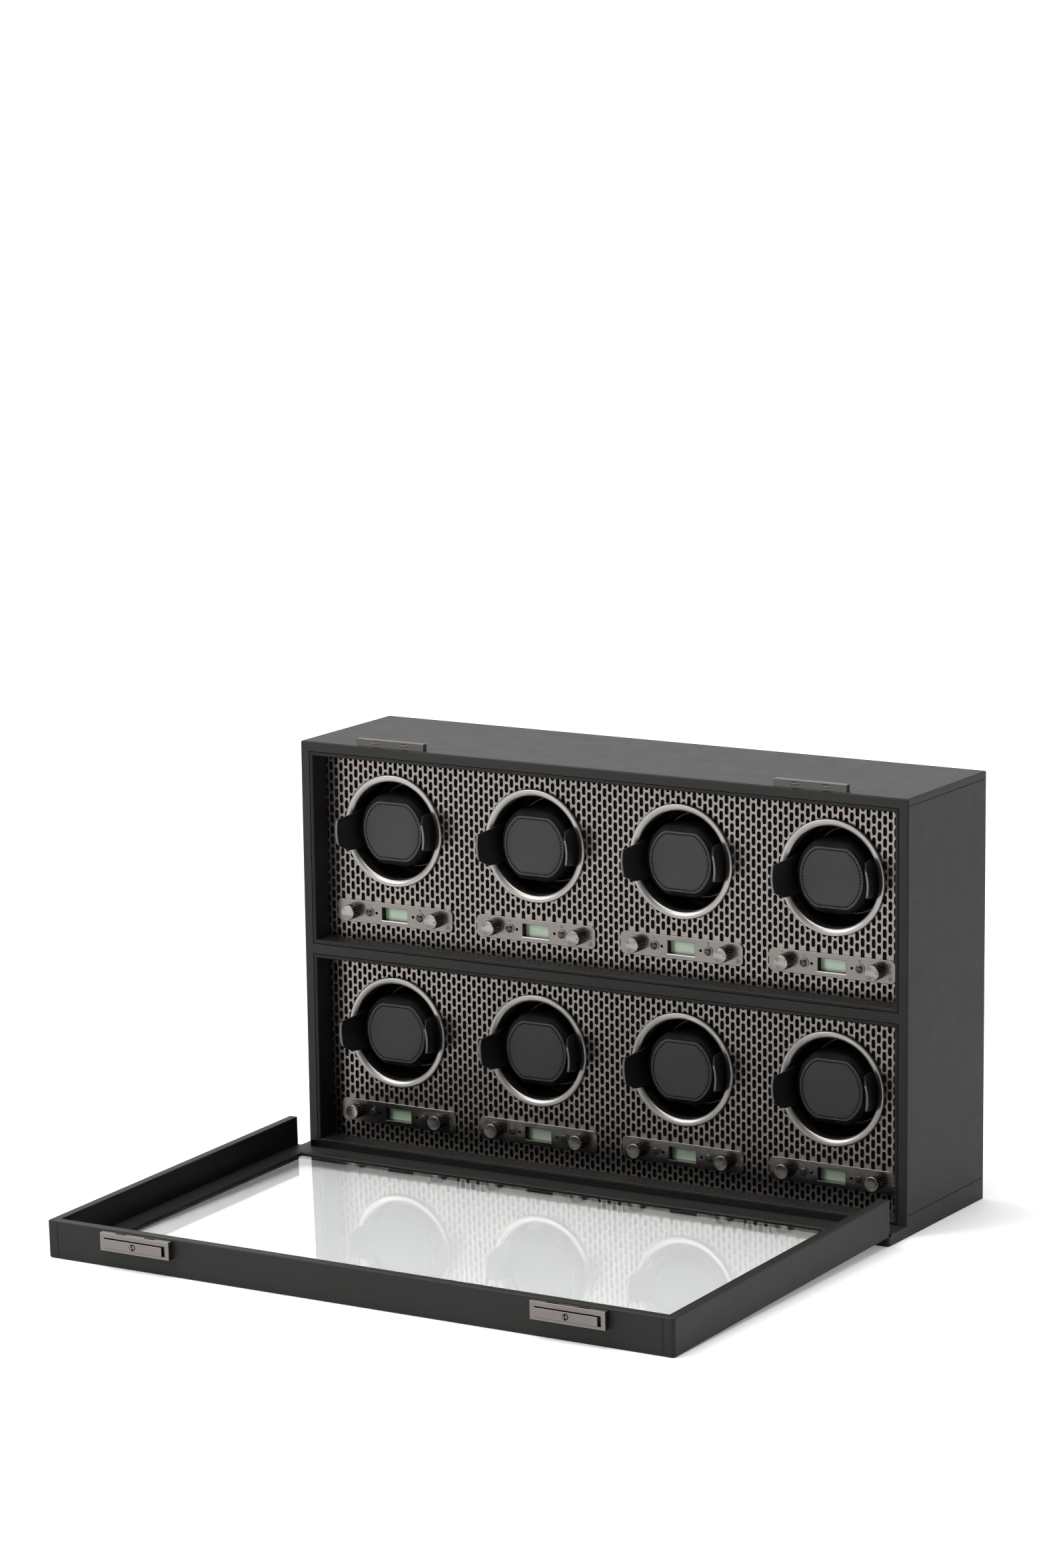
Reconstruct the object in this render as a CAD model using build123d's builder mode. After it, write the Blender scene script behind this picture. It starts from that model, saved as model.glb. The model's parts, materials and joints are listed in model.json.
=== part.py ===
"""Eight-place watch winder box with a drop-down glazed door, built as separate pieces.

Frame: millimetres, origin at the centre of the case's bottom face, +X to the right, +Y to the rear,
+Z up. The door is open, with its free edge on the table that the case stands on.
"""
from build123d import *
import os
from math import asin, atan2, cos, degrees, hypot, radians, sin

# ---- Case -------------------------------------------------------------------------------------
CASE_W = 680.0
CASE_D = 164.0
CASE_H = 424.0
BOARD = 9.7  # thickness of the sides, the top and the centre shelf
BASE_T = 11.0  # base board, which reaches forward as the lip under the door
BACK_T = 6.0
EDGE_R = 1.6  # softness of the leather-covered edges
LIP_CORNER_R = 3.5
FRONT = -CASE_D / 2  # front plane of the case
REAR = CASE_D / 2

# ---- Rows and bays ----------------------------------------------------------------------------
ROW_H = (CASE_H - BASE_T - 2 * BOARD) / 2
ROW_FLOORS = (BASE_T, BASE_T + ROW_H + BOARD)
INNER_W = CASE_W - 2 * BOARD
LINER_T = 4.4
LINER_GROOVE = 0.9
LINER_GROOVE_D = 1.6
LINER_D = 31.0
RECESS = 25.0  # depth from the front plane to the slotted panel
PANEL_T = 1.2
PANEL_CLEARANCE = 0.05
BAY_PITCH = 164.6
BAYS_PER_ROW = 4
WINDER_RISE = 118.7  # winder axis above its row's floor
CONTROL_RISE = 33.0  # control plate's centre above its row's floor
PANEL_Y = FRONT + RECESS
PANEL_BACK = PANEL_Y + PANEL_T

# ---- Winder -----------------------------------------------------------------------------------
PANEL_HOLE_R = 51.9
RING_R = 57.0
RING_BORE_R = 49.6
RING_SLEEVE_R = 51.4
RING_PROUD = 3.2
RING_SLEEVE_D = 14.0
DRUM_BORE_R = 52.2
DRUM_R = 54.7
DRUM_FLOOR_Y = PANEL_Y + 46.0  # front face of the drum's rear wall
DRUM_FLOOR_T = 2.5
BOSS_R = 6.0
BOSS_HOLE_R = 6.2
SHAFT_R = 3.0
SHAFT_CLEARANCE = 0.05
SHAFT_L = 16.0
TABLE_R = 47.0
TABLE_Y = PANEL_Y + 40.0  # front face of the turntable
TABLE_T = 3.0
TABLE_RIM_R = 42.6
TABLE_RIM_W = 2.4
TABLE_RIM_H = 2.5
ARM_T = 2.2
ARM_R = 47.4  # outer radius inside the drum
ARM_BEND_Y = PANEL_Y - 4.0
ARM_TIP_R = 52.6  # outer radius at the flared front rim
ARM_TIP_Y = FRONT - 2.0
ARM_HALF_H = 21.5
ARM_TIP_HALF_H = 14.5
ARM_SLANT_D = 11.0
POST_R = 12.0
CUFF_R = 41.0
CUFF_HALF_H = 36.5
CUFF_Y = FRONT + 20.0
CUFF_D = 40.0
CUFF_EDGE_R = 5.0
CUFF_SEAT_GAP = 0.05
PAD_R = 34.2
PAD_HALF_H = 28.5
PAD_T = 2.0
PAD_EDGE_R = 0.8
GEARBOX_R = 18.5
GEARBOX_D = 20.0
MOTOR_R = 17.5
MOTOR_D = 28.0
TERMINAL_W = 6.0
TERMINAL_T = 1.0
TERMINAL_L = 5.0

# ---- Control plate ----------------------------------------------------------------------------
PLATE_W = 136.0
PLATE_H = 23.0
PLATE_T = 1.6
PLATE_CORNER_R = 5.0
PLATE_Y = PANEL_Y - PLATE_T
PANEL_SLOT_W = 126.0
PANEL_SLOT_H = 17.0
KNOB_X = 49.0
BUTTON_X = 30.0
PINHOLE_X = 21.6
PINHOLE_R = 1.5
WINDOW_W = 30.6
WINDOW_H = 13.6
WINDOW_D = 7.0
WINDOW_WALL = 0.9
KNOB_R = 7.8
KNOB_FACE_R = 7.1
KNOB_H = 11.4
KNOB_SKIRT_H = 9.6
KNOB_GAP = 0.5
KNOB_FLUTES = 16
KNOB_FLUTE_R = 0.7
KNOB_MARK_W = 1.0
KNOB_MARK_L = 3.0
KNOB_TURNS = {"left": -60.0, "right": 90.0}  # pointer angles at rest, clockwise from the top
KNOB_SHAFT_R = 3.0
KNOB_SHAFT_HOLE_R = 3.25
KNOB_SHAFT_D = 7.0  # length behind the plate's front face
POT_R = 6.0
POT_BORE_R = 3.1
POT_D = 6.0
BUTTON_R = 4.0
BUTTON_CLEARANCE = 0.1
BUTTON_PROUD = 1.4
BUTTON_RIM_R = 5.3
BUTTON_RIM_H = 0.8
BUTTON_FLANGE_R = 4.7
BUTTON_FLANGE_T = 0.8
BUTTON_STEM_R = 1.7
SWITCH_W = 6.0
SWITCH_D = 3.0
SWITCH_GAP = 1.0
CIRCUIT_Y = PANEL_Y + 9.0  # front face of the circuit board
CIRCUIT_W = 124.0
CIRCUIT_H = 30.0
CIRCUIT_T = 1.6

# ---- Door -------------------------------------------------------------------------------------
LIP_D = 37.0
DOOR_D = 36.7
DOOR_FACE_T = 8.0
DOOR_WALL_T = 9.5
DOOR_GAP = 1.6  # between the lip and the door's lower end, which holds the hinge leaves
DOOR_L = CASE_H - BASE_T - DOOR_GAP
GLASS_MARGIN = 31.0  # from the door's edge to the glass that shows
GLASS_HINGE_MARGIN = 25.0
GLASS_COVER_T = 2.2  # the face frame's lip in front of the glass
GLASS_T = 4.0
GLASS_SEAT = 8.8  # width of the seat that the glass lies on
GLASS_EDGE_GAP = 0.8
RETAINER_BEVEL = 1.2
LIP_FRONT = FRONT - LIP_D

# ---- Hinge ------------------------------------------------------------------------------------
HINGE_INSET = 2.6  # axis behind the front face
HINGE_Y = LIP_FRONT + HINGE_INSET
HINGE_Z = BASE_T + DOOR_GAP / 2
KNUCKLE_R = 2.2
PIN_R = 1.0
PIN_CLEARANCE = 0.05
HINGE_REBATE = 2.9  # reach of the rebates in the lip and the door, from the axis
HINGE_REBATE_W = 2.5
KNUCKLES = 21
KNUCKLE_L = 30.0
KNUCKLE_GAP = 0.3
LEAF_T = 0.7
LEAF_W = 12.4

# ---- Latches and strikes ----------------------------------------------------------------------
LATCH_X = 235.0
LATCH_W = 78.0
LATCH_H = 17.4
LATCH_D = 6.6
LATCH_MARGIN = 1.4  # from the door's inner edge
LATCH_POCKET_W = 69.0
LATCH_POCKET_H = 10.2
LATCH_POCKET_D = 5.0
LATCH_POCKET_DROP = 0.9  # from the middle of the housing toward the outer face
BAR_W = 65.6
BAR_H = 8.8
BAR_D = 5.7
BAR_CLEARANCE = 0.15
KEYWAY_R = 3.4
KEYWAY_GROOVE = 0.5
TOOTH_X = 16.4
TOOTH_W = 10.0
TOOTH_T = 1.4
TOOTH_L = 4.4
TOOTH_RISE = 4.2  # above the case's top
TOOTH_SLOT_W = 12.4
TOOTH_SLOT_T = 2.4
TOOTH_SLOT_D = 4.0
STRIKE_D = 6.5
STRIKE_H = 7.3

# ---- Power inlet ------------------------------------------------------------------------------
INLET_Z = 32.0
INLET_R = 4.0
INLET_FLANGE_R = 5.6
INLET_FLANGE_T = 1.4
INLET_NUT_R = 6.5
INLET_NUT_T = 2.2
INLET_BORE_R = 2.8
INLET_D = 14.0

os.makedirs("parts", exist_ok=True)


def save(built, name):
    """Label a finished piece and write it as one STEP file."""
    built.part.label = name
    export_step(built.part, f"parts/{name}.step")


# The door turns about the hinge axis. Its plane has X along the hinge, -Y from the hinge to the free
# end and Z through its thickness, from the outer face to the inner one. When it is open, its outer
# free edge rests on the table.
reach = hypot(DOOR_L + DOOR_GAP / 2, HINGE_INSET)
slope = asin(HINGE_Z / reach) - atan2(HINGE_INSET, DOOR_L + DOOR_GAP / 2)
OPEN_ANGLE = 90 + degrees(slope)
DOOR_PLANE = Plane(
    origin=(0, HINGE_Y, HINGE_Z),
    x_dir=(1, 0, 0),
    z_dir=(0, cos(radians(OPEN_ANGLE)), sin(radians(OPEN_ANGLE))),
)
DOOR_END = -DOOR_GAP / 2  # the door's hinge end, along its plane's Y
DOOR_FREE = DOOR_END - DOOR_L
DOOR_MID = (DOOR_END + DOOR_FREE) / 2


def door_level(depth):
    """The door's plane at a depth from its outer face."""
    return DOOR_PLANE.offset(depth - HINGE_INSET)


def facing(y):
    """A plane that looks forward from depth y, with X to the right and Y up."""
    return Plane(origin=(0, y, 0), x_dir=(1, 0, 0), z_dir=(0, -1, 0))


bay_xs = [(i - (BAYS_PER_ROW - 1) / 2) * BAY_PITCH for i in range(BAYS_PER_ROW)]
row_middles = [floor + ROW_H / 2 for floor in ROW_FLOORS]
winders = [(x, floor + WINDER_RISE) for floor in reversed(ROW_FLOORS) for x in bay_xs]
controls = [(x, floor + CONTROL_RISE) for floor in reversed(ROW_FLOORS) for x in bay_xs]
winder_places = [Location((x, 0, z)) for x, z in winders]
control_places = [Location((x, 0, z)) for x, z in controls]
LINER_IN_W = INNER_W - 2 * LINER_T
LINER_IN_H = ROW_H - 2 * LINER_T

# ---- Case -------------------------------------------------------------------------------------
with BuildPart() as case_shell:
    with BuildSketch(facing(REAR)):
        with Locations((0, (CASE_H + BASE_T) / 2)):
            Rectangle(CASE_W, CASE_H - BASE_T)
    extrude(amount=CASE_D)
    seat_edges = case_shell.edges().group_by(Axis.Z)[0]  # these meet the base board and stay sharp
    fillet(case_shell.edges() - seat_edges, EDGE_R)
    with BuildSketch(facing(REAR)):
        with Locations([(0, z) for z in row_middles]):
            Rectangle(INNER_W, ROW_H)
    extrude(amount=CASE_D, mode=Mode.SUBTRACT)
    with BuildSketch(facing(REAR)):
        with Locations((0, (BASE_T + CASE_H - BOARD) / 2)):
            Rectangle(INNER_W, CASE_H - BOARD - BASE_T)
    extrude(amount=BACK_T, mode=Mode.SUBTRACT)
save(case_shell, "case_shell")

with BuildPart() as base_board:
    with BuildSketch():
        with Locations((0, (REAR + LIP_FRONT) / 2)):
            Rectangle(CASE_W, REAR - LIP_FRONT)
    extrude(amount=BASE_T)
    corners = base_board.edges().filter_by(Axis.Z)
    fillet(corners.group_by(Axis.Y)[0], LIP_CORNER_R)
    fillet(corners.group_by(Axis.Y)[-1], EDGE_R)
    with BuildSketch(Plane.XY.offset(HINGE_Z - HINGE_REBATE)):
        with Locations((0, (LIP_FRONT + HINGE_Y + HINGE_REBATE_W) / 2)):
            Rectangle(CASE_W, HINGE_INSET + HINGE_REBATE_W)
    extrude(amount=BASE_T, mode=Mode.SUBTRACT)
save(base_board, "base_board")

with BuildPart() as back_panel:
    with BuildSketch(facing(REAR)):
        with Locations((0, (BASE_T + CASE_H - BOARD) / 2)):
            Rectangle(INNER_W, CASE_H - BOARD - BASE_T)
        with Locations((0, INLET_Z)):
            Circle(INLET_R, mode=Mode.SUBTRACT)
    extrude(amount=BACK_T)
save(back_panel, "back_panel")

with BuildPart() as compartment_liners:
    with BuildSketch(facing(FRONT + LINER_D)):
        with Locations([(0, z) for z in row_middles]):
            Rectangle(INNER_W, ROW_H)
            Rectangle(LINER_IN_W, LINER_IN_H, mode=Mode.SUBTRACT)
    extrude(amount=LINER_D)
    fillet(compartment_liners.edges().group_by(Axis.Y)[0], EDGE_R)
    with BuildSketch(facing(FRONT + LINER_GROOVE_D)):
        with Locations([(0, z) for z in row_middles]):
            Rectangle(INNER_W, ROW_H)
            Rectangle(INNER_W - 2 * LINER_GROOVE, ROW_H - 2 * LINER_GROOVE, mode=Mode.SUBTRACT)
    extrude(amount=LINER_GROOVE_D, mode=Mode.SUBTRACT)
save(compartment_liners, "compartment_liners")

with BuildPart() as slotted_panels:
    with BuildSketch(facing(PANEL_BACK)):
        with Locations([(0, z) for z in row_middles]):
            Rectangle(LINER_IN_W - 2 * PANEL_CLEARANCE, LINER_IN_H - 2 * PANEL_CLEARANCE)
        with Locations(winders):
            Circle(PANEL_HOLE_R, mode=Mode.SUBTRACT)
        with Locations(controls):
            Rectangle(PANEL_SLOT_W, PANEL_SLOT_H, mode=Mode.SUBTRACT)
    extrude(amount=PANEL_T)
save(slotted_panels, "slotted_panels")

# ---- Winder bays ------------------------------------------------------------------------------
with BuildPart() as ring:
    with BuildSketch(Plane.YZ):
        with BuildLine():
            Polyline(
                (PANEL_Y, RING_R),
                (PANEL_Y - RING_PROUD, RING_R),
                (PANEL_Y - RING_PROUD, RING_BORE_R),
                (PANEL_Y - RING_PROUD + RING_SLEEVE_D, RING_BORE_R),
                (PANEL_Y - RING_PROUD + RING_SLEEVE_D, RING_SLEEVE_R),
                (PANEL_Y, RING_SLEEVE_R),
                close=True,
            )
        make_face()
    revolve(axis=Axis.Y)
    front_edges = ring.edges().group_by(Axis.Y)[0].sort_by(SortBy.RADIUS)
    fillet(front_edges[-1], RING_PROUD * 0.75)
    fillet(ring.edges().group_by(Axis.Y)[0].sort_by(SortBy.RADIUS)[0], RING_PROUD * 0.5)

with BuildPart() as bezel_rings:
    with Locations(winder_places):
        add(ring.part)
save(bezel_rings, "bezel_rings")

with BuildPart() as drum:
    with BuildSketch(facing(DRUM_FLOOR_Y + DRUM_FLOOR_T)):
        Circle(DRUM_R)
        Circle(BOSS_HOLE_R, mode=Mode.SUBTRACT)
    extrude(amount=DRUM_FLOOR_T)
    with BuildSketch(facing(DRUM_FLOOR_Y)):
        Circle(DRUM_R)
        Circle(DRUM_BORE_R, mode=Mode.SUBTRACT)
    extrude(amount=DRUM_FLOOR_Y - PANEL_BACK)

with BuildPart() as drum_housings:
    with Locations(winder_places):
        add(drum.part)
save(drum_housings, "drum_housings")

MOTOR_Y = DRUM_FLOOR_Y + DRUM_FLOOR_T
with BuildPart() as gearmotor:
    with BuildSketch(facing(MOTOR_Y + GEARBOX_D)):
        Circle(GEARBOX_R)
    extrude(amount=GEARBOX_D)
    with BuildSketch(facing(MOTOR_Y + GEARBOX_D + MOTOR_D)):
        Circle(MOTOR_R)
    extrude(amount=MOTOR_D)
    fillet(gearmotor.edges().group_by(Axis.Y)[-1], 1.5)
    with BuildSketch(facing(MOTOR_Y)):
        Circle(BOSS_R)
    extrude(amount=DRUM_FLOOR_T)
    with BuildSketch(facing(MOTOR_Y + GEARBOX_D + MOTOR_D + TERMINAL_L)):
        with Locations((-MOTOR_R / 2, 0), (MOTOR_R / 2, 0)):
            Rectangle(TERMINAL_T, TERMINAL_W)
    extrude(amount=TERMINAL_L)
    with BuildSketch(facing(DRUM_FLOOR_Y)):
        Circle(SHAFT_R + SHAFT_CLEARANCE)
    extrude(amount=-SHAFT_L, mode=Mode.SUBTRACT)

with BuildPart() as gearmotors:
    with Locations(winder_places):
        add(gearmotor.part)
save(gearmotors, "gearmotors")

# ---- Rotor: turntable with two arms, and the cuff between them ----------------------------------
with BuildPart() as cradle:
    with BuildSketch(Plane.YZ):
        with BuildLine():
            Polyline(
                (TABLE_Y, ARM_R),
                (ARM_BEND_Y, ARM_R),
                (ARM_TIP_Y, ARM_TIP_R),
                (ARM_TIP_Y, ARM_TIP_R - ARM_T),
                (ARM_BEND_Y, ARM_R - ARM_T),
                (TABLE_Y, ARM_R - ARM_T),
                close=True,
            )
        make_face()
    revolve(axis=Axis.Y)
    with BuildSketch(Plane.YZ):
        with BuildLine():
            Polyline(
                (TABLE_Y, ARM_HALF_H),
                (ARM_TIP_Y + ARM_SLANT_D, ARM_HALF_H),
                (ARM_TIP_Y, ARM_TIP_HALF_H),
                (ARM_TIP_Y, -ARM_TIP_HALF_H),
                (ARM_TIP_Y + ARM_SLANT_D, -ARM_HALF_H),
                (TABLE_Y, -ARM_HALF_H),
                close=True,
            )
        make_face()
    extrude(amount=2 * ARM_R, both=True, mode=Mode.INTERSECT)
    with BuildSketch(facing(TABLE_Y + TABLE_T)):
        Circle(ARM_R)
    extrude(amount=TABLE_T)
    with BuildSketch(facing(TABLE_Y)):
        Circle(TABLE_RIM_R)
        Circle(TABLE_RIM_R - TABLE_RIM_W, mode=Mode.SUBTRACT)
    extrude(amount=TABLE_RIM_H)
    with BuildSketch(facing(TABLE_Y)):
        Circle(POST_R)
    extrude(amount=TABLE_Y - CUFF_Y - CUFF_D - CUFF_SEAT_GAP)
    with BuildSketch(facing(DRUM_FLOOR_Y + SHAFT_L - 1)):
        Circle(SHAFT_R)
    extrude(amount=DRUM_FLOOR_Y + SHAFT_L - 1 - TABLE_Y - TABLE_T)

with BuildPart() as cuff:
    with BuildSketch(facing(CUFF_Y + CUFF_D)):
        Circle(CUFF_R)
        Rectangle(3 * CUFF_R, 2 * CUFF_HALF_H, mode=Mode.INTERSECT)
    extrude(amount=CUFF_D)
    fillet(cuff.edges().group_by(Axis.Y)[0] + cuff.edges().group_by(Axis.Y)[-1], CUFF_EDGE_R)
    with BuildSketch(facing(CUFF_Y)):
        Circle(PAD_R)
        Rectangle(3 * PAD_R, 2 * PAD_HALF_H, mode=Mode.INTERSECT)
    extrude(amount=PAD_T)
    fillet(cuff.edges().group_by(Axis.Y)[0], PAD_EDGE_R)

for number, place in enumerate(winder_places, 1):
    with BuildPart() as rotor:
        with Locations(place):
            add(cradle.part)
            add(cuff.part)
    save(rotor, f"rotor_{number}")

# ---- Controls under each winder -----------------------------------------------------------------
with BuildPart() as plate:
    with BuildSketch(facing(PANEL_Y)):
        RectangleRounded(PLATE_W, PLATE_H, PLATE_CORNER_R)
    extrude(amount=PLATE_T)
    fillet(plate.edges().group_by(Axis.Y)[0], 0.5)
    with BuildSketch(facing(PLATE_Y)):
        with Locations((-BUTTON_X, 0), (BUTTON_X, 0)):
            Circle(BUTTON_RIM_R)
    extrude(amount=BUTTON_RIM_H)
    with BuildSketch(facing(PLATE_Y + WINDOW_D)):
        Rectangle(WINDOW_W + 2 * WINDOW_WALL, WINDOW_H + 2 * WINDOW_WALL)
    extrude(amount=WINDOW_D - PLATE_T / 2)
    with BuildSketch(facing(PANEL_Y + WINDOW_D)):
        Rectangle(WINDOW_W, WINDOW_H)
        with Locations((-KNOB_X, 0), (KNOB_X, 0)):
            Circle(KNOB_SHAFT_HOLE_R)
        with Locations((-BUTTON_X, 0), (BUTTON_X, 0)):
            Circle(BUTTON_R + BUTTON_CLEARANCE)
        with Locations((-PINHOLE_X, 0), (PINHOLE_X, 0)):
            Circle(PINHOLE_R)
    extrude(amount=WINDOW_D + 2 * PLATE_T, mode=Mode.SUBTRACT)

with BuildPart() as control_plates:
    with Locations(control_places):
        add(plate.part)
save(control_plates, "control_plates")

SCREEN_Y = PLATE_Y + WINDOW_D  # front face of the display behind the window
with BuildPart() as board:
    with BuildSketch(facing(CIRCUIT_Y + CIRCUIT_T)):
        Rectangle(CIRCUIT_W, CIRCUIT_H)
    extrude(amount=CIRCUIT_T)
    with BuildSketch(facing(CIRCUIT_Y)):
        Rectangle(WINDOW_W + 2 * WINDOW_WALL, WINDOW_H + 2 * WINDOW_WALL)
    extrude(amount=CIRCUIT_Y - SCREEN_Y)
    with BuildSketch(facing(CIRCUIT_Y)):
        with Locations((-KNOB_X, 0), (KNOB_X, 0)):
            Circle(POT_R)
    extrude(amount=POT_D)
    with BuildSketch(facing(CIRCUIT_Y)):
        with Locations((-BUTTON_X, 0), (BUTTON_X, 0)):
            Rectangle(SWITCH_W, SWITCH_W)
    extrude(amount=SWITCH_D)
    with BuildSketch(facing(CIRCUIT_Y - 0.5)):
        with Locations((-KNOB_X, 0), (KNOB_X, 0)):
            Circle(POT_BORE_R)
    extrude(amount=POT_D, mode=Mode.SUBTRACT)

with BuildPart() as display_boards:
    with Locations(control_places):
        add(board.part)
save(display_boards, "display_boards")

KNOB_BACK = PLATE_Y - KNOB_GAP
KNOB_FRONT = KNOB_BACK - KNOB_H
with BuildPart() as knob:
    with BuildSketch(facing(KNOB_BACK)):
        Circle(KNOB_R)
    extrude(amount=KNOB_SKIRT_H, taper=1.5)
    with BuildSketch(facing(KNOB_BACK)):
        with PolarLocations(KNOB_R, KNOB_FLUTES):
            Circle(KNOB_FLUTE_R)
    extrude(amount=KNOB_SKIRT_H, mode=Mode.SUBTRACT)
    with BuildSketch(facing(KNOB_BACK)):
        Circle(KNOB_FACE_R)
    extrude(amount=KNOB_H)
    fillet(knob.edges().group_by(Axis.Y)[0], 0.6)
    with BuildSketch(facing(KNOB_FRONT)):
        with Locations((0, KNOB_FACE_R - KNOB_MARK_L / 2)):
            Rectangle(KNOB_MARK_W, KNOB_MARK_L)
    extrude(amount=-0.6, mode=Mode.SUBTRACT)
    with BuildSketch(facing(PLATE_Y + KNOB_SHAFT_D)):
        Circle(KNOB_SHAFT_R)
    extrude(amount=KNOB_SHAFT_D + KNOB_GAP)

BUTTON_FRONT = PLATE_Y - BUTTON_RIM_H - BUTTON_PROUD
STEM_BACK = CIRCUIT_Y - SWITCH_D - SWITCH_GAP
with BuildPart() as button:
    with BuildSketch(facing(PANEL_Y)):
        Circle(BUTTON_R)
    extrude(amount=PANEL_Y - BUTTON_FRONT)
    fillet(button.edges().group_by(Axis.Y)[0], BUTTON_PROUD * 0.9)
    with BuildSketch(facing(PANEL_Y + BUTTON_FLANGE_T)):
        Circle(BUTTON_FLANGE_R)
    extrude(amount=BUTTON_FLANGE_T)
    with BuildSketch(facing(STEM_BACK)):
        Circle(BUTTON_STEM_R)
    extrude(amount=STEM_BACK - PANEL_Y)

for number, (x, z) in enumerate(controls, 1):
    for side, offset in (("left", -KNOB_X), ("right", KNOB_X)):
        with BuildPart() as placed_knob:
            with Locations(Location((x + offset, 0, z), (0, KNOB_TURNS[side], 0))):
                add(knob.part)
        save(placed_knob, f"knob_{side}_{number}")
    for side, offset in (("left", -BUTTON_X), ("right", BUTTON_X)):
        with BuildPart() as placed_button:
            with Locations((x + offset, 0, z)):
                add(button.part)
        save(placed_button, f"button_{side}_{number}")

# ---- Door ---------------------------------------------------------------------------------------
GLASS_END = DOOR_END - GLASS_HINGE_MARGIN
GLASS_FREE = DOOR_FREE + GLASS_MARGIN
GLASS_MID = (GLASS_END + GLASS_FREE) / 2
GLASS_SHOWN_W = CASE_W - 2 * GLASS_MARGIN
GLASS_SHOWN_L = GLASS_END - GLASS_FREE
SEAT_W = GLASS_SHOWN_W + 2 * GLASS_SEAT
SEAT_L = GLASS_SHOWN_L + 2 * GLASS_SEAT
TRAY_FREE = DOOR_FREE + DOOR_WALL_T
with BuildPart() as door_frame:
    with BuildSketch(door_level(0)):
        with Locations((0, DOOR_MID)):
            Rectangle(CASE_W, DOOR_L)
    extrude(amount=DOOR_D)
    corners = door_frame.edges().filter_by(Axis(origin=(0, 0, 0), direction=DOOR_PLANE.z_dir))
    fillet(corners.group_by(Axis.Y)[0], LIP_CORNER_R)
    rims = door_frame.faces().filter_by(DOOR_PLANE).edges().sort_by(Axis.Y)
    fillet(rims[:-2], EDGE_R)  # every edge of both faces except the two at the hinge
    with BuildSketch(door_level(DOOR_FACE_T)):
        with Locations((0, (TRAY_FREE + DOOR_END + 1) / 2)):
            Rectangle(CASE_W - 2 * DOOR_WALL_T, DOOR_END + 1 - TRAY_FREE)
    extrude(amount=DOOR_D, mode=Mode.SUBTRACT)
    with BuildSketch(door_level(0)):
        with Locations((0, GLASS_MID)):
            Rectangle(GLASS_SHOWN_W, GLASS_SHOWN_L)
    extrude(amount=DOOR_FACE_T, mode=Mode.SUBTRACT)
    with BuildSketch(door_level(GLASS_COVER_T)):
        with Locations((0, GLASS_MID)):
            Rectangle(SEAT_W, SEAT_L)
    extrude(amount=DOOR_FACE_T, mode=Mode.SUBTRACT)
    with BuildSketch(door_level(0)):
        with Locations((0, (DOOR_END + 1 - HINGE_REBATE) / 2)):
            Rectangle(CASE_W, HINGE_REBATE + DOOR_END + 1)
    extrude(amount=HINGE_INSET + HINGE_REBATE_W, mode=Mode.SUBTRACT)
save(door_frame, "door_frame")

with BuildPart() as door_glass:
    with BuildSketch(door_level(GLASS_COVER_T)):
        with Locations((0, GLASS_MID)):
            Rectangle(SEAT_W - 2 * GLASS_EDGE_GAP, SEAT_L - 2 * GLASS_EDGE_GAP)
    extrude(amount=GLASS_T)
save(door_glass, "door_glass")

with BuildPart() as glass_retainer:
    with BuildSketch(door_level(GLASS_COVER_T + GLASS_T)):
        with Locations((0, GLASS_MID)):
            Rectangle(SEAT_W, SEAT_L)
            Rectangle(GLASS_SHOWN_W, GLASS_SHOWN_L, mode=Mode.SUBTRACT)
    extrude(amount=DOOR_FACE_T - GLASS_COVER_T - GLASS_T)
    bevelled = glass_retainer.faces().filter_by(DOOR_PLANE).sort_by(Axis.Z)[-1]
    chamfer(bevelled.inner_wires()[0].edges(), RETAINER_BEVEL)
save(glass_retainer, "glass_retainer")

# ---- Latches ------------------------------------------------------------------------------------
LATCH_LEVEL = DOOR_D - LATCH_MARGIN - LATCH_H  # depth of the housing's lower edge in the open door
LATCH_FACE = DOOR_FREE - LATCH_D
POCKET_LEVEL = LATCH_LEVEL + (LATCH_H - LATCH_POCKET_H) / 2 - LATCH_POCKET_DROP
POCKET_FLOOR = LATCH_FACE + LATCH_POCKET_D
latch_xs = (-LATCH_X, LATCH_X)
with BuildPart() as latch_housings:
    with BuildSketch(door_level(LATCH_LEVEL)):
        with Locations([(x, DOOR_FREE - LATCH_D / 2) for x in latch_xs]):
            Rectangle(LATCH_W, LATCH_D)
    extrude(amount=LATCH_H)
    fillet(latch_housings.edges().group_by(Axis.Y)[0], 0.6)
    with BuildSketch(door_level(POCKET_LEVEL)):
        with Locations([(x, (LATCH_FACE - 1 + POCKET_FLOOR) / 2) for x in latch_xs]):
            Rectangle(LATCH_POCKET_W, LATCH_POCKET_D + 1)
    extrude(amount=LATCH_POCKET_H, mode=Mode.SUBTRACT)
    with BuildSketch(door_level(LATCH_LEVEL + LATCH_H)):
        with Locations([(x + t, DOOR_FREE - TOOTH_RISE) for x in latch_xs for t in (-TOOTH_X, TOOTH_X)]):
            Rectangle(TOOTH_SLOT_W, TOOTH_SLOT_T)
    extrude(amount=-TOOTH_SLOT_D, mode=Mode.SUBTRACT)
save(latch_housings, "latch_housings")

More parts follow.
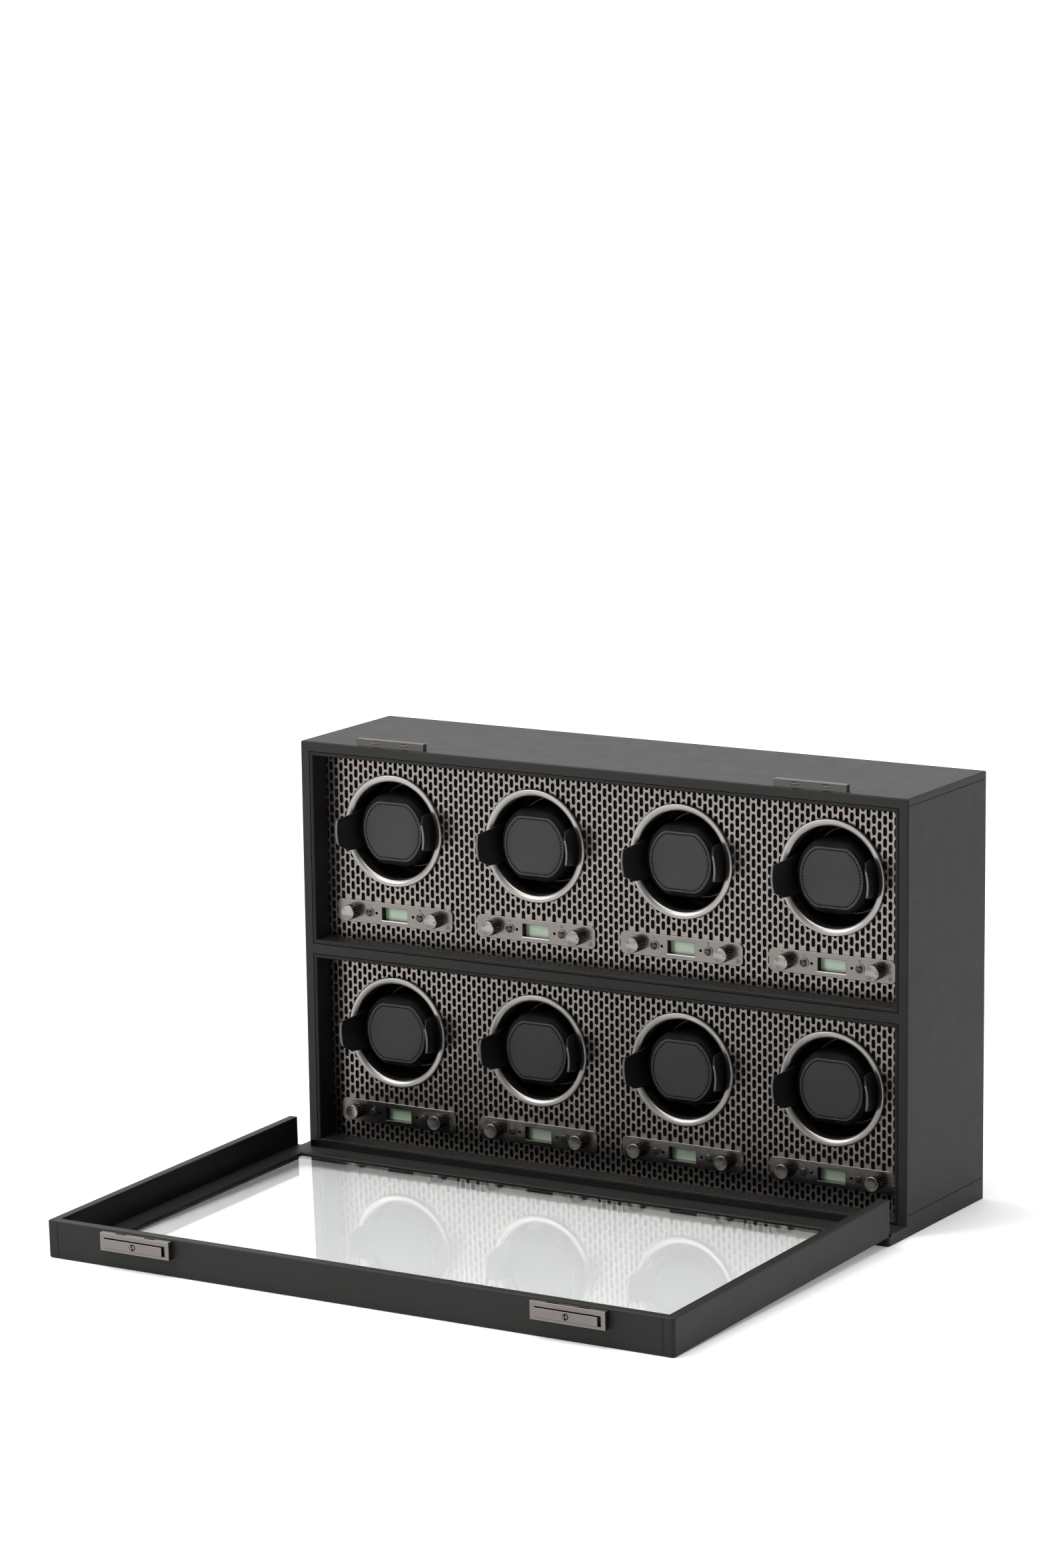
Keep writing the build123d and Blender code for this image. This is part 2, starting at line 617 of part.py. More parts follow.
BAR_Y = POCKET_FLOOR - BAR_CLEARANCE - BAR_D / 2
BAR_SHIFT = (BAR_W - LATCH_POCKET_W) / 2 + BAR_CLEARANCE
KEY_PLANE = Plane(
    origin=door_level(POCKET_LEVEL + BAR_CLEARANCE + BAR_H / 2).from_local_coords((0, BAR_Y - BAR_D / 2, 0)),
    x_dir=(1, 0, 0),
    z_dir=-DOOR_PLANE.y_dir,
)
for side, x in (("left", -LATCH_X), ("right", LATCH_X)):
    with BuildPart() as latch_bar:
        with BuildSketch(door_level(POCKET_LEVEL + BAR_CLEARANCE)):
            with Locations((x + BAR_SHIFT, BAR_Y)):
                Rectangle(BAR_W, BAR_D)
        extrude(amount=BAR_H)
        fillet(latch_bar.edges().group_by(Axis.Y)[0], 0.5)
        with BuildSketch(KEY_PLANE):
            with Locations((x - 2, 0)):
                Circle(KEYWAY_R)
                Circle(KEYWAY_R - KEYWAY_GROOVE, mode=Mode.SUBTRACT)
                Rectangle(0.9, 3.6)
        extrude(amount=-0.7, mode=Mode.SUBTRACT)
    save(latch_bar, f"latch_bar_{side}")

TOOTH_Z = CASE_H + TOOTH_RISE
with BuildPart() as latch_strikes:
    with BuildSketch(Plane.XY.offset(CASE_H)):
        with Locations([(x, FRONT + EDGE_R + STRIKE_D / 2) for x in latch_xs]):
            Rectangle(LATCH_W, STRIKE_D)
    extrude(amount=STRIKE_H)
    fillet(latch_strikes.edges().group_by(Axis.Z)[-1], 0.5)
    with BuildSketch(Plane.XY.offset(TOOTH_Z - TOOTH_T / 2)):
        with Locations([(x + t, FRONT + EDGE_R) for x in latch_xs for t in (-TOOTH_X, TOOTH_X)]):
            Polygon((-TOOTH_W / 2, 0.5), (TOOTH_W / 2, 0.5), (0, -TOOTH_L - EDGE_R), align=None)
    extrude(amount=TOOTH_T)
save(latch_strikes, "latch_strikes")

# ---- Hinge --------------------------------------------------------------------------------------
knuckle_xs = [(i - (KNUCKLES - 1) / 2) * KNUCKLE_L for i in range(KNUCKLES)]
lip_xs = knuckle_xs[0::2]
door_xs = knuckle_xs[1::2]
HINGE_L = KNUCKLES * KNUCKLE_L
with BuildPart() as hinge_lip_leaf:
    with BuildSketch(Plane.XY.offset(BASE_T)):
        with Locations((0, HINGE_Y + (HINGE_REBATE_W + LEAF_W) / 2)):
            Rectangle(HINGE_L, LEAF_W - HINGE_REBATE_W)
        with Locations([(x, HINGE_Y + HINGE_REBATE_W / 2 + 0.5) for x in lip_xs]):
            Rectangle(KNUCKLE_L - KNUCKLE_GAP, HINGE_REBATE_W)
    extrude(amount=LEAF_T)
    for x in lip_xs:
        with BuildSketch(Plane.YZ.offset(x - (KNUCKLE_L - KNUCKLE_GAP) / 2)):
            with Locations((HINGE_Y, HINGE_Z)):
                Circle(KNUCKLE_R)
        extrude(amount=KNUCKLE_L - KNUCKLE_GAP)
    with BuildSketch(Plane.YZ.offset(-(HINGE_L - KNUCKLE_GAP) / 2)):
        with Locations((HINGE_Y, HINGE_Z)):
            Circle(PIN_R)
    extrude(amount=HINGE_L - KNUCKLE_GAP)
save(hinge_lip_leaf, "hinge_lip_leaf")

LEAF_LEVEL = DOOR_END + LEAF_T / 2
with BuildPart() as hinge_door_leaf:
    with BuildSketch(DOOR_PLANE.offset(HINGE_REBATE_W)):
        with Locations((0, LEAF_LEVEL)):
            Rectangle(HINGE_L, LEAF_T)
    extrude(amount=LEAF_W - HINGE_REBATE_W)
    with BuildSketch(DOOR_PLANE.offset(0.5)):
        with Locations([(x, LEAF_LEVEL) for x in door_xs]):
            Rectangle(KNUCKLE_L - KNUCKLE_GAP, LEAF_T)
    extrude(amount=HINGE_REBATE_W)
    for x in door_xs:
        with BuildSketch(Plane.YZ.offset(x - (KNUCKLE_L - KNUCKLE_GAP) / 2)):
            with Locations((HINGE_Y, HINGE_Z)):
                Circle(KNUCKLE_R)
        extrude(amount=KNUCKLE_L - KNUCKLE_GAP)
    with BuildSketch(Plane.YZ.offset(-HINGE_L / 2)):
        with Locations((HINGE_Y, HINGE_Z)):
            Circle(PIN_R + PIN_CLEARANCE)
    extrude(amount=HINGE_L, mode=Mode.SUBTRACT)
save(hinge_door_leaf, "hinge_door_leaf")

# ---- Power inlet ----------------------------------------------------------------------------------
with BuildPart() as power_inlet:
    with BuildSketch(facing(REAR)):
        with Locations((0, INLET_Z)):
            Circle(INLET_R)
    extrude(amount=INLET_D)
    with BuildSketch(facing(REAR + INLET_FLANGE_T)):
        with Locations((0, INLET_Z)):
            Circle(INLET_FLANGE_R)
    extrude(amount=INLET_FLANGE_T)
    with BuildSketch(facing(REAR - BACK_T)):
        with Locations((0, INLET_Z)):
            Circle(INLET_NUT_R)
    extrude(amount=INLET_NUT_T)
    with BuildSketch(facing(REAR + INLET_FLANGE_T)):
        with Locations((0, INLET_Z)):
            Circle(INLET_BORE_R)
    extrude(amount=INLET_D - 4, mode=Mode.SUBTRACT)
save(power_inlet, "power_inlet")
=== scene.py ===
"""Looks for the eight-place watch winder box: soft cuffs, pierced panels, leather, metal and glass."""
import bmesh
import bpy
import json
import math
from mathutils import Matrix, Vector, geometry


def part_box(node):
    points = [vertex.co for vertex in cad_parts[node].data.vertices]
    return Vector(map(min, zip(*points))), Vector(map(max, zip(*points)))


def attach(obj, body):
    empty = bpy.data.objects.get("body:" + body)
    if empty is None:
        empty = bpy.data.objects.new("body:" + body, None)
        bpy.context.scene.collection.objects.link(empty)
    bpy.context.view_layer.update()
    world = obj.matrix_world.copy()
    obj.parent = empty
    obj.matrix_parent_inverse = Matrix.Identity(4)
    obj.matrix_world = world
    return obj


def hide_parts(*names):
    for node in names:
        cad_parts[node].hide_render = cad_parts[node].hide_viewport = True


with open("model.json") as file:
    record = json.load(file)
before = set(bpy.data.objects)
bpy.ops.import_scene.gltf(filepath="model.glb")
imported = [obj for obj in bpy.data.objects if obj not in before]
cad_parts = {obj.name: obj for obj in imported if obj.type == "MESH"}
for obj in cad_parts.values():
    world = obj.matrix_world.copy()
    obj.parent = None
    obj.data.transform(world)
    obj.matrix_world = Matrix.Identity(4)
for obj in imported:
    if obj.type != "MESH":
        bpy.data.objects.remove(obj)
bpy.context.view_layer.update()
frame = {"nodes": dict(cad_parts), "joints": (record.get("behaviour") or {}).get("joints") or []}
NODES = frame["nodes"]
MM = 0.001
IMAGE_LONG = 2352

# ---- places read from the frame ---------------------------------------------------------------
JOINTS = {j["name"]: j for j in frame["joints"]}
WINDERS = [Vector(JOINTS[f"cradle_{i}"]["pos_m"]) for i in range(1, 9)]
KNOBS = {(s, i): Vector(JOINTS[f"turn_{s}_{i}"]["pos_m"]) for s in ("left", "right") for i in range(1, 9)}
PANEL_LO, PANEL_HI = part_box("slotted_panels")
CASE_LO, CASE_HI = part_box("case_shell")
PANEL_Y = PANEL_LO.y
PANEL_BACK = PANEL_HI.y
FRONT = CASE_LO.y
PITCH = WINDERS[1].x - WINDERS[0].x
CONTROLS = [(KNOBS["left", i] + KNOBS["right", i]) / 2 for i in range(1, 9)]
PLATE_Y = PANEL_Y - 1.6 * MM

# ---- small helpers ------------------------------------------------------------------------------


def piece(name, verts, faces, body, material, smooth=True):
    """A mesh object from vertex and face lists, riding on a body."""
    mesh = bpy.data.meshes.new(name)
    mesh.from_pydata([tuple(v) for v in verts], [], faces)
    mesh.validate()
    mesh.update()
    return placed(name, mesh, body, material, smooth)


def placed(name, mesh, body, material, smooth=True):
    """An object for a mesh, riding on a body."""
    obj = bpy.data.objects.new(name, mesh)
    bpy.context.scene.collection.objects.link(obj)
    if not mesh.materials:
        mesh.materials.append(material)
    if smooth:
        mesh.polygons.foreach_set("use_smooth", [True] * len(mesh.polygons))
    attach(obj, body)
    return obj


def modifier(obj, kind, **values):
    m = obj.modifiers.new(kind.title(), kind)
    for key, value in values.items():
        setattr(m, key, value)
    return m


def bake(obj):
    """Apply the object's modifiers to its mesh."""
    graph = bpy.context.evaluated_depsgraph_get()
    mesh = bpy.data.meshes.new_from_object(obj.evaluated_get(graph))
    obj.modifiers.clear()
    obj.data = mesh
    return obj


def lathe(profile, segments=96, centre=(0, 0, 0), closed=True, start=0.0):
    """Rings of (y, radius) points turned about the Y axis. Returns vertices and faces."""
    verts, faces = [], []
    n = len(profile)
    cx, cy, cz = centre
    for k in range(segments):
        a = start + 2 * math.pi * k / segments
        for y, r in profile:
            verts.append((cx + r * math.cos(a), cy + y, cz + r * math.sin(a)))
    last = n if closed else n - 1
    for k in range(segments):
        k2 = (k + 1) % segments
        for i in range(last):
            j = (i + 1) % n
            faces.append((k * n + i, k2 * n + i, k2 * n + j, k * n + j))
    return verts, faces


def rounded_rect(w, h, r, steps=6):
    """Corner points of a rounded rectangle, counter-clockwise, centred on zero."""
    out = []
    for cx, cz, a0 in (
        (w / 2 - r, h / 2 - r, 0),
        (-w / 2 + r, h / 2 - r, 90),
        (-w / 2 + r, -h / 2 + r, 180),
        (w / 2 - r, -h / 2 + r, 270),
    ):
        for i in range(steps + 1):
            a = math.radians(a0 + 90 * i / steps)
            out.append((cx + r * math.cos(a), cz + r * math.sin(a)))
    return out


def circle(cx, cz, r, steps):
    """Points of a circle, counter-clockwise."""
    angles = [2 * math.pi * k / steps for k in range(steps)]
    return [(cx + r * math.cos(a), cz + r * math.sin(a)) for a in angles]


def moved(verts, dx, dy, dz):
    """The same vertices, shifted."""
    return [(x + dx, y + dy, z + dz) for x, y, z in verts]


def merge(parts):
    """Join several (verts, faces) into one."""
    verts, faces = [], []
    for v, f in parts:
        base = len(verts)
        verts.extend(v)
        faces.extend(tuple(i + base for i in face) for face in f)
    return verts, faces


TO_MM = 1000  # flat shapes are triangulated in millimetres


def cut_flat(outer, holes):
    """Triangulate a four-cornered outline with holes in it. Returns points in millimetres and triangles."""
    points = [Vector(p) * TO_MM for p in outer]
    loops = [list(range(4))]
    for hole in holes:
        loops.append(list(range(len(points), len(points) + len(hole))))
        points += [Vector(p) * TO_MM for p in hole]
    edges = [(a, b) for loop in loops for a, b in zip(loop, loop[1:] + loop[:1])]
    faces = [loops[0]] + [loop[::-1] for loop in loops[1:]]
    out_points, _, out_faces, _, _, _ = geometry.delaunay_2d_cdt(points, edges, faces, 2, 1e-5)
    return out_points, out_faces


# ---- materials ------------------------------------------------------------------------------------


class Shader:
    """A node material that is built up layer by layer."""

    def __init__(self, name, color, roughness, metallic=0.0, **sockets):
        self.mat = bpy.data.materials.new(name)
        self.mat.use_nodes = True
        self.tree = self.mat.node_tree
        self.bsdf = self.tree.nodes["Principled BSDF"]
        self.base = color
        self.set("Base Color", (*color, 1.0))
        self.set("Roughness", roughness)
        self.set("Metallic", metallic)
        for key, value in sockets.items():
            self.set(key.replace("_", " "), value)
        self.coords = self.node("ShaderNodeTexCoord").outputs["Object"]
        self.normal = None
        self.color_out = None

    def node(self, kind, **values):
        n = self.tree.nodes.new(kind)
        for key, value in values.items():
            setattr(n, key, value)
        return n

    def set(self, socket, value):
        self.bsdf.inputs[socket].default_value = value

    def link(self, a, b):
        self.tree.links.new(a, b)

    def mapping(self, scale):
        m = self.node("ShaderNodeMapping")
        m.inputs["Scale"].default_value = scale
        self.link(self.coords, m.inputs["Vector"])
        return m.outputs["Vector"]

    def noise(self, scale, detail=3.0, stretch=(1, 1, 1), rough=0.5):
        n = self.node("ShaderNodeTexNoise")
        n.inputs["Scale"].default_value = scale
        n.inputs["Detail"].default_value = detail
        n.inputs["Roughness"].default_value = rough
        self.link(self.mapping(stretch), n.inputs["Vector"])
        return n.outputs["Fac"]

    def cells(self, scale, feature="DISTANCE_TO_EDGE", stretch=(1, 1, 1), jitter=1.0):
        n = self.node("ShaderNodeTexVoronoi", feature=feature)
        n.inputs["Scale"].default_value = scale
        n.inputs["Randomness"].default_value = jitter
        self.link(self.mapping(stretch), n.inputs["Vector"])
        return n.outputs["Distance"]

    def ramp(self, fac, low, high, a=(0, 0, 0), b=(1, 1, 1)):
        r = self.node("ShaderNodeValToRGB")
        r.color_ramp.elements[0].position = low
        r.color_ramp.elements[1].position = high
        r.color_ramp.elements[0].color = (*a, 1)
        r.color_ramp.elements[1].color = (*b, 1)
        self.link(fac, r.inputs["Fac"])
        return r.outputs["Color"]

    def tint(self, fac, other, low=0.0, high=1.0):
        """Mix another colour in where fac is high."""
        r = self.node("ShaderNodeMapRange")
        r.inputs["From Min"].default_value = low
        r.inputs["From Max"].default_value = high
        self.link(fac, r.inputs["Value"])
        m = self.node("ShaderNodeMix", data_type="RGBA")
        self.link(r.outputs["Result"], m.inputs["Factor"])
        if self.color_out is None:
            m.inputs["A"].default_value = (*self.base, 1)
        else:
            self.link(self.color_out, m.inputs["A"])
        m.inputs["B"].default_value = (*other, 1)
        self.color_out = m.outputs["Result"]
        self.link(self.color_out, self.bsdf.inputs["Base Color"])
        return self

    def rough(self, fac, low, high):
        r = self.node("ShaderNodeMapRange")
        r.inputs["To Min"].default_value = low
        r.inputs["To Max"].default_value = high
        self.link(fac, r.inputs["Value"])
        self.link(r.outputs["Result"], self.bsdf.inputs["Roughness"])
        return self

    def bump(self, height, distance, strength=1.0):
        b = self.node("ShaderNodeBump")
        b.inputs["Distance"].default_value = distance
        b.inputs["Strength"].default_value = strength
        self.link(height, b.inputs["Height"])
        if self.normal is not None:
            self.link(self.normal, b.inputs["Normal"])
        self.normal = b.outputs["Normal"]
        self.link(self.normal, self.bsdf.inputs["Normal"])
        return self


def leather(name, color, light, scale=1500.0, depth=0.00006, roughness=(0.42, 0.6), specular=0.35):
    """Grained leather: pebbles with fine creases between them, and a slow change of shade."""
    s = Shader(name, color, roughness[0], Specular_IOR_Level=specular)
    pebble = s.cells(scale)
    crease = s.ramp(pebble, 0.0, 0.16)
    s.bump(crease, depth, 0.6)
    s.bump(s.noise(scale * 2.2, 4), depth * 0.5, 0.35)
    s.tint(s.noise(9, 3), light, 0.35, 0.95)
    s.rough(s.noise(60, 3), *roughness)
    return s.mat


def satin(name, color, roughness, grain=(1, 1, 1), scale=900.0, metallic=1.0, spread=0.05, depth=0.0000012):
    """Brushed or bead-blasted metal with a fine directional grain."""
    s = Shader(name, color, roughness, metallic)
    lines = s.noise(scale, 3, grain)
    s.rough(lines, roughness - spread, roughness + spread)
    s.bump(lines, depth, 0.5)
    s.tint(s.noise(25, 2), tuple(c * 0.86 for c in color), 0.4, 0.9)
    return s.mat


def turned_metal(name, color, roughness):
    """Fine-turned metal with a soft, slowly changing sheen."""
    s = Shader(name, color, roughness, 1.0)
    s.rough(s.noise(30, 2), roughness - 0.02, roughness + 0.03)
    s.tint(s.noise(18, 2), tuple(c * 0.85 for c in color), 0.4, 0.9)
    return s.mat


def plastic(name, color, roughness, scale=2500.0, depth=0.00002, specular=0.5):
    s = Shader(name, color, roughness, Specular_IOR_Level=specular)
    n = s.noise(scale, 2)
    s.bump(n, depth, 0.25)
    s.rough(s.noise(80, 2), roughness - 0.05, roughness + 0.08)
    s.tint(s.noise(30, 2), tuple(min(1, c * 1.35 + 0.002) for c in color), 0.45, 0.95)
    return s.mat


CASE_LEATHER = leather(
    "case_leather", (0.014, 0.0143, 0.0132), (0.018, 0.0183, 0.017),
    1400, 0.00004, (0.42, 0.52), 0.16,
)
BACK_CLOTH = leather(
    "back_cloth", (0.018, 0.018, 0.018), (0.025, 0.025, 0.025),
    2400, 0.00008, (0.75, 0.9), 0.2,
)
LINING = leather(
    "lining_leather", (0.010, 0.0096, 0.009), (0.014, 0.0134, 0.0125),
    1800, 0.00004, (0.42, 0.52), 0.14,
)
CUFF = leather(
    "cuff_leather", (0.0045, 0.0045, 0.0045), (0.0065, 0.0065, 0.0065),
    1300, 0.00006, (0.5, 0.62), 0.09,
)
PAD = leather("pad_leather", (0.031, 0.031, 0.030), (0.039, 0.039, 0.038), 1900, 0.00004, (0.5, 0.6), 0.2)
# lighter leather on the pad's raised rim: a painted highlight
PAD_RIM_PAINTED_HIGHLIGHT = leather(
    "pad_rim_painted_highlight", (0.046, 0.046, 0.0445), (0.055, 0.055, 0.0535),
    1900, 0.00004, (0.45, 0.58), 0.3,
)
THREAD = plastic("thread", (0.002, 0.002, 0.002), 0.8, specular=0.1)
SEAM_THREAD = plastic("seam_thread", (0.010, 0.010, 0.0095), 0.75, specular=0.15)
PANEL = satin("panel_paint", (0.235, 0.212, 0.195), 0.34, scale=2600, metallic=0.95, depth=0.0000002)
PLATE = satin("plate_paint", (0.16, 0.147, 0.137), 0.24, scale=3000, metallic=1.0, depth=0.0000002)
# black felt, also used on the slots' cut walls as painted shade
FELT_AND_SLOT_WALL_SHADE = plastic("backing", (0.005, 0.0043, 0.0038), 0.8, specular=0.1)
RING = turned_metal("ring_metal", (0.33, 0.315, 0.298), 0.36)
FITTING = satin("fitting_metal", (0.155, 0.142, 0.132), 0.30, (1, 20, 20), 700, depth=0.0000003)
STRIKE = satin("strike_metal", (0.075, 0.069, 0.064), 0.36, (1, 20, 20), 700, depth=0.0000003)
BLACK = plastic("black_plastic", (0.005, 0.005, 0.005), 0.55, specular=0.2)
ARM = plastic("arm_plastic", (0.008, 0.008, 0.0085), 0.5, specular=0.22)
# lighter plastic for the arms' front edges: a painted highlight on their bevels
ARM_RIM_PAINTED_HIGHLIGHT = plastic("arm_rim_painted_highlight", (0.09, 0.09, 0.093), 0.36)
# light grey for the turntable's front rim: a painted highlight
TABLE_RIM_PAINTED_HIGHLIGHT = plastic("table_rim_painted_highlight", (0.20, 0.20, 0.20), 0.3)
MOTOR = satin("motor_can", (0.45, 0.45, 0.44), 0.4)
CIRCUIT = plastic("circuit_board", (0.012, 0.06, 0.03), 0.45)
# hinge metal darkened near black: painted shade for the shadowed band along the hinge
HINGE_METAL_PAINTED_SHADE = satin("hinge_metal", (0.045, 0.043, 0.041), 0.4, (1, 20, 20), 700)
KNOB_FACE = satin("knob_face", (0.26, 0.242, 0.225), 0.3, scale=2200, depth=0.0000003)
# bright metal for painted highlights: the window's lower lip and the strike catches
PAINTED_HIGHLIGHT_METAL = satin("window_lip_painted_highlight", (0.6, 0.58, 0.56), 0.3, scale=600, spread=0.03, depth=0.0)
KNOB_SKIRT = satin("knob_skirt", (0.27, 0.25, 0.232), 0.22, (1, 0.1, 1), 1500, depth=0.0)
# near-black knob metal: painted shade in the flute grooves
KNOB_GROOVE_PAINTED_SHADE = satin("knob_groove_painted_shade", (0.035, 0.033, 0.031), 0.3, (1, 0.1, 1), 1500, depth=0.0)
CHROME = satin("chrome", (0.27, 0.26, 0.25), 0.2, scale=600, spread=0.03, depth=0.0)
DOME = plastic("button_dome", (0.012, 0.013, 0.014), 0.16)
# dark for the knobs' printed marks, and for painted shade in the keyholes and the latch gaps
DARK_PRINT_AND_PAINTED_SHADE = plastic("dark_print_and_painted_shade", (0.003, 0.003, 0.003), 0.7, specular=0.2)
INK = plastic("printed_mark", (0.02, 0.018, 0.017), 0.6)


def glass_material():
    """Clear glass with a faint green-grey tint, which also dims the floor seen through it as painted shade,
    and slow smudges.
    """
    sockets = dict(Transmission_Weight=1.0, IOR=1.5, Specular_IOR_Level=0.3)
    s = Shader("door_glass", (0.925, 0.937, 0.931), 0.012, 0.0, **sockets)
    smudge = s.noise(14, 4)
    s.rough(smudge, 0.004, 0.02)
    s.tint(s.noise(3, 2), (0.935, 0.945, 0.94), 0.3, 0.8)
    return s.mat


def display_material():
    """Grey-green reflective display with a faint cell grain."""
    s = Shader("display_glass", (0.36, 0.455, 0.335), 0.22, 0.0, Coat_Weight=0.6, Coat_Roughness=0.08)
    s.tint(s.noise(160, 2), (0.31, 0.41, 0.295), 0.3, 0.8)
    s.tint(s.noise(4000, 1), (0.39, 0.485, 0.36), 0.5, 0.9)
    return s.mat


GLASS = glass_material()
DISPLAY = display_material()

# ---- carried-over CAD nodes -----------------------------------------------------------------------
def paint(node_name, material):
    """Give a CAD node one material."""
    NODES[node_name].data.materials.clear()
    NODES[node_name].data.materials.append(material)


for node_name, material in {
    "case_shell": CASE_LEATHER,
    "base_board": CASE_LEATHER,
    "back_panel": BACK_CLOTH,
    "compartment_liners": LINING,
    "slotted_panels": PANEL,
    "bezel_rings": RING,
    "drum_housings": BLACK,
    "gearmotors": MOTOR,
    "control_plates": PLATE,
    "display_boards": CIRCUIT,
    "latch_strikes": STRIKE,
    "power_inlet": BLACK,
    "hinge_lip_leaf": HINGE_METAL_PAINTED_SHADE,
    "hinge_door_leaf": HINGE_METAL_PAINTED_SHADE,
    "door_frame": CASE_LEATHER,
    "door_glass": GLASS,
    "glass_retainer": LINING,
    "latch_housings": FITTING,
    "latch_bar_left": FITTING,
    "latch_bar_right": FITTING,
}.items():
    paint(node_name, material)
for i in range(1, 9):
    paint(f"rotor_{i}", ARM)
    for side in ("left", "right"):
        paint(f"knob_{side}_{i}", KNOB_SKIRT)
        paint(f"button_{side}_{i}", DOME)

# ---- pierced panels -------------------------------------------------------------------------------
COLUMNS = 28
SLOT_PITCH_X = PITCH / COLUMNS
SLOT_PITCH_Z = 10.9 * MM
SLOT_W = 4.2 * MM
SLOT_H = 9.1 * MM
HOLE_R = 52.4 * MM
SLOT_END_STEPS = 5
SLOT_ROWS = 12  # rows tried above and below the winder's axis, more than a bay holds
PLATE_HALF_W, PLATE_HALF_H = 63.3 * MM, 8.8 * MM  # opening behind a control plate
RING_STRIP = 0.4 * MM  # least metal between a slot and the ring's hole
EDGE_STRIP = 0.3 * MM  # and between a slot and a plate's opening or the sheet's edge
MERGE_GAP = 0.02 * MM  # points closer than this become one
CORNERS = ((1, 1), (-1, 1), (-1, -1), (1, -1))


def slot_outline(cx, cz):
    """A slot with round ends, counter-clockwise."""
    r = SLOT_W / 2
    reach = SLOT_H / 2 - r
    out = []
    for k in range(2 * (SLOT_END_STEPS + 1)):
        half = k // (SLOT_END_STEPS + 1)
        a = math.pi * (k - half * (SLOT_END_STEPS + 1)) / SLOT_END_STEPS + half * math.pi
        out.append((cx + r * math.cos(a), cz + (reach if half == 0 else -reach) + r * math.sin(a)))
    return out


def pierced_tile(lo_z, hi_z, ring_z, plate_z):
    """One bay of pierced sheet in (x, z) about the winder's axis: outer loop and hole loops."""
    holes = []
    for c in range(COLUMNS):
        cx = (c + 0.5 - COLUMNS / 2) * SLOT_PITCH_X
        for k in range(-SLOT_ROWS, SLOT_ROWS + 1):
            cz = ring_z + (k + 0.5 * (c % 2)) * SLOT_PITCH_Z
            if not lo_z - 0.4 * SLOT_H < cz < hi_z + 0.4 * SLOT_H:
                continue
            d = math.hypot(cx, cz - ring_z)
            if d < HOLE_R + 0.6 * MM:
                continue
            if abs(cz - plate_z) < PLATE_HALF_H + 0.8 * MM and abs(cx) < PLATE_HALF_W + 1.8 * MM:
                continue
            loop = []
            for x, z in slot_outline(cx, cz):
                rr = math.hypot(x, z - ring_z)
                if rr < HOLE_R + RING_STRIP:
                    f = (HOLE_R + RING_STRIP) / rr
                    x, z = x * f, ring_z + (z - ring_z) * f
                if abs(x) < PLATE_HALF_W + EDGE_STRIP and abs(z - plate_z) < PLATE_HALF_H + EDGE_STRIP:
                    z = plate_z + math.copysign(PLATE_HALF_H + EDGE_STRIP, cz - plate_z)
                z = min(max(z, lo_z + EDGE_STRIP), hi_z - EDGE_STRIP)
                if not loop or math.hypot(x - loop[-1][0], z - loop[-1][1]) > MERGE_GAP:
                    loop.append((x, z))
            if math.hypot(loop[0][0] - loop[-1][0], loop[0][1] - loop[-1][1]) < MERGE_GAP:
                loop.pop()
            if len(loop) > 4:
                holes.append(loop)
    opening = [(sx * PLATE_HALF_W, plate_z + sz * PLATE_HALF_H) for sx, sz in CORNERS]
    holes += [circle(0.0, ring_z, HOLE_R, 96), opening]
    outer = [(-PITCH / 2, lo_z), (PITCH / 2, lo_z), (PITCH / 2, hi_z), (-PITCH / 2, hi_z)]
    return outer, holes


def tile_mesh(outer, holes, thickness):
    """Triangulate the tile and give it its thickness, with a wall round each hole."""
    out_v, out_f = cut_flat(outer, holes)
    n = len(out_v)
    verts = [(v.x / TO_MM, y, v.y / TO_MM) for y in (0.0, thickness) for v in out_v]
    count = {}
    for f in out_f:
        for a, b in zip(f, f[1:] + f[:1]):
            count[(min(a, b), max(a, b))] = count.get((min(a, b), max(a, b)), 0) + 1
    tris = [tuple(f) for f in out_f] + [tuple(i + n for i in reversed(f)) for f in out_f]
    tris += [(a, b, b + n, a + n) for (a, b), c in count.items() if c == 1]
    return verts, tris


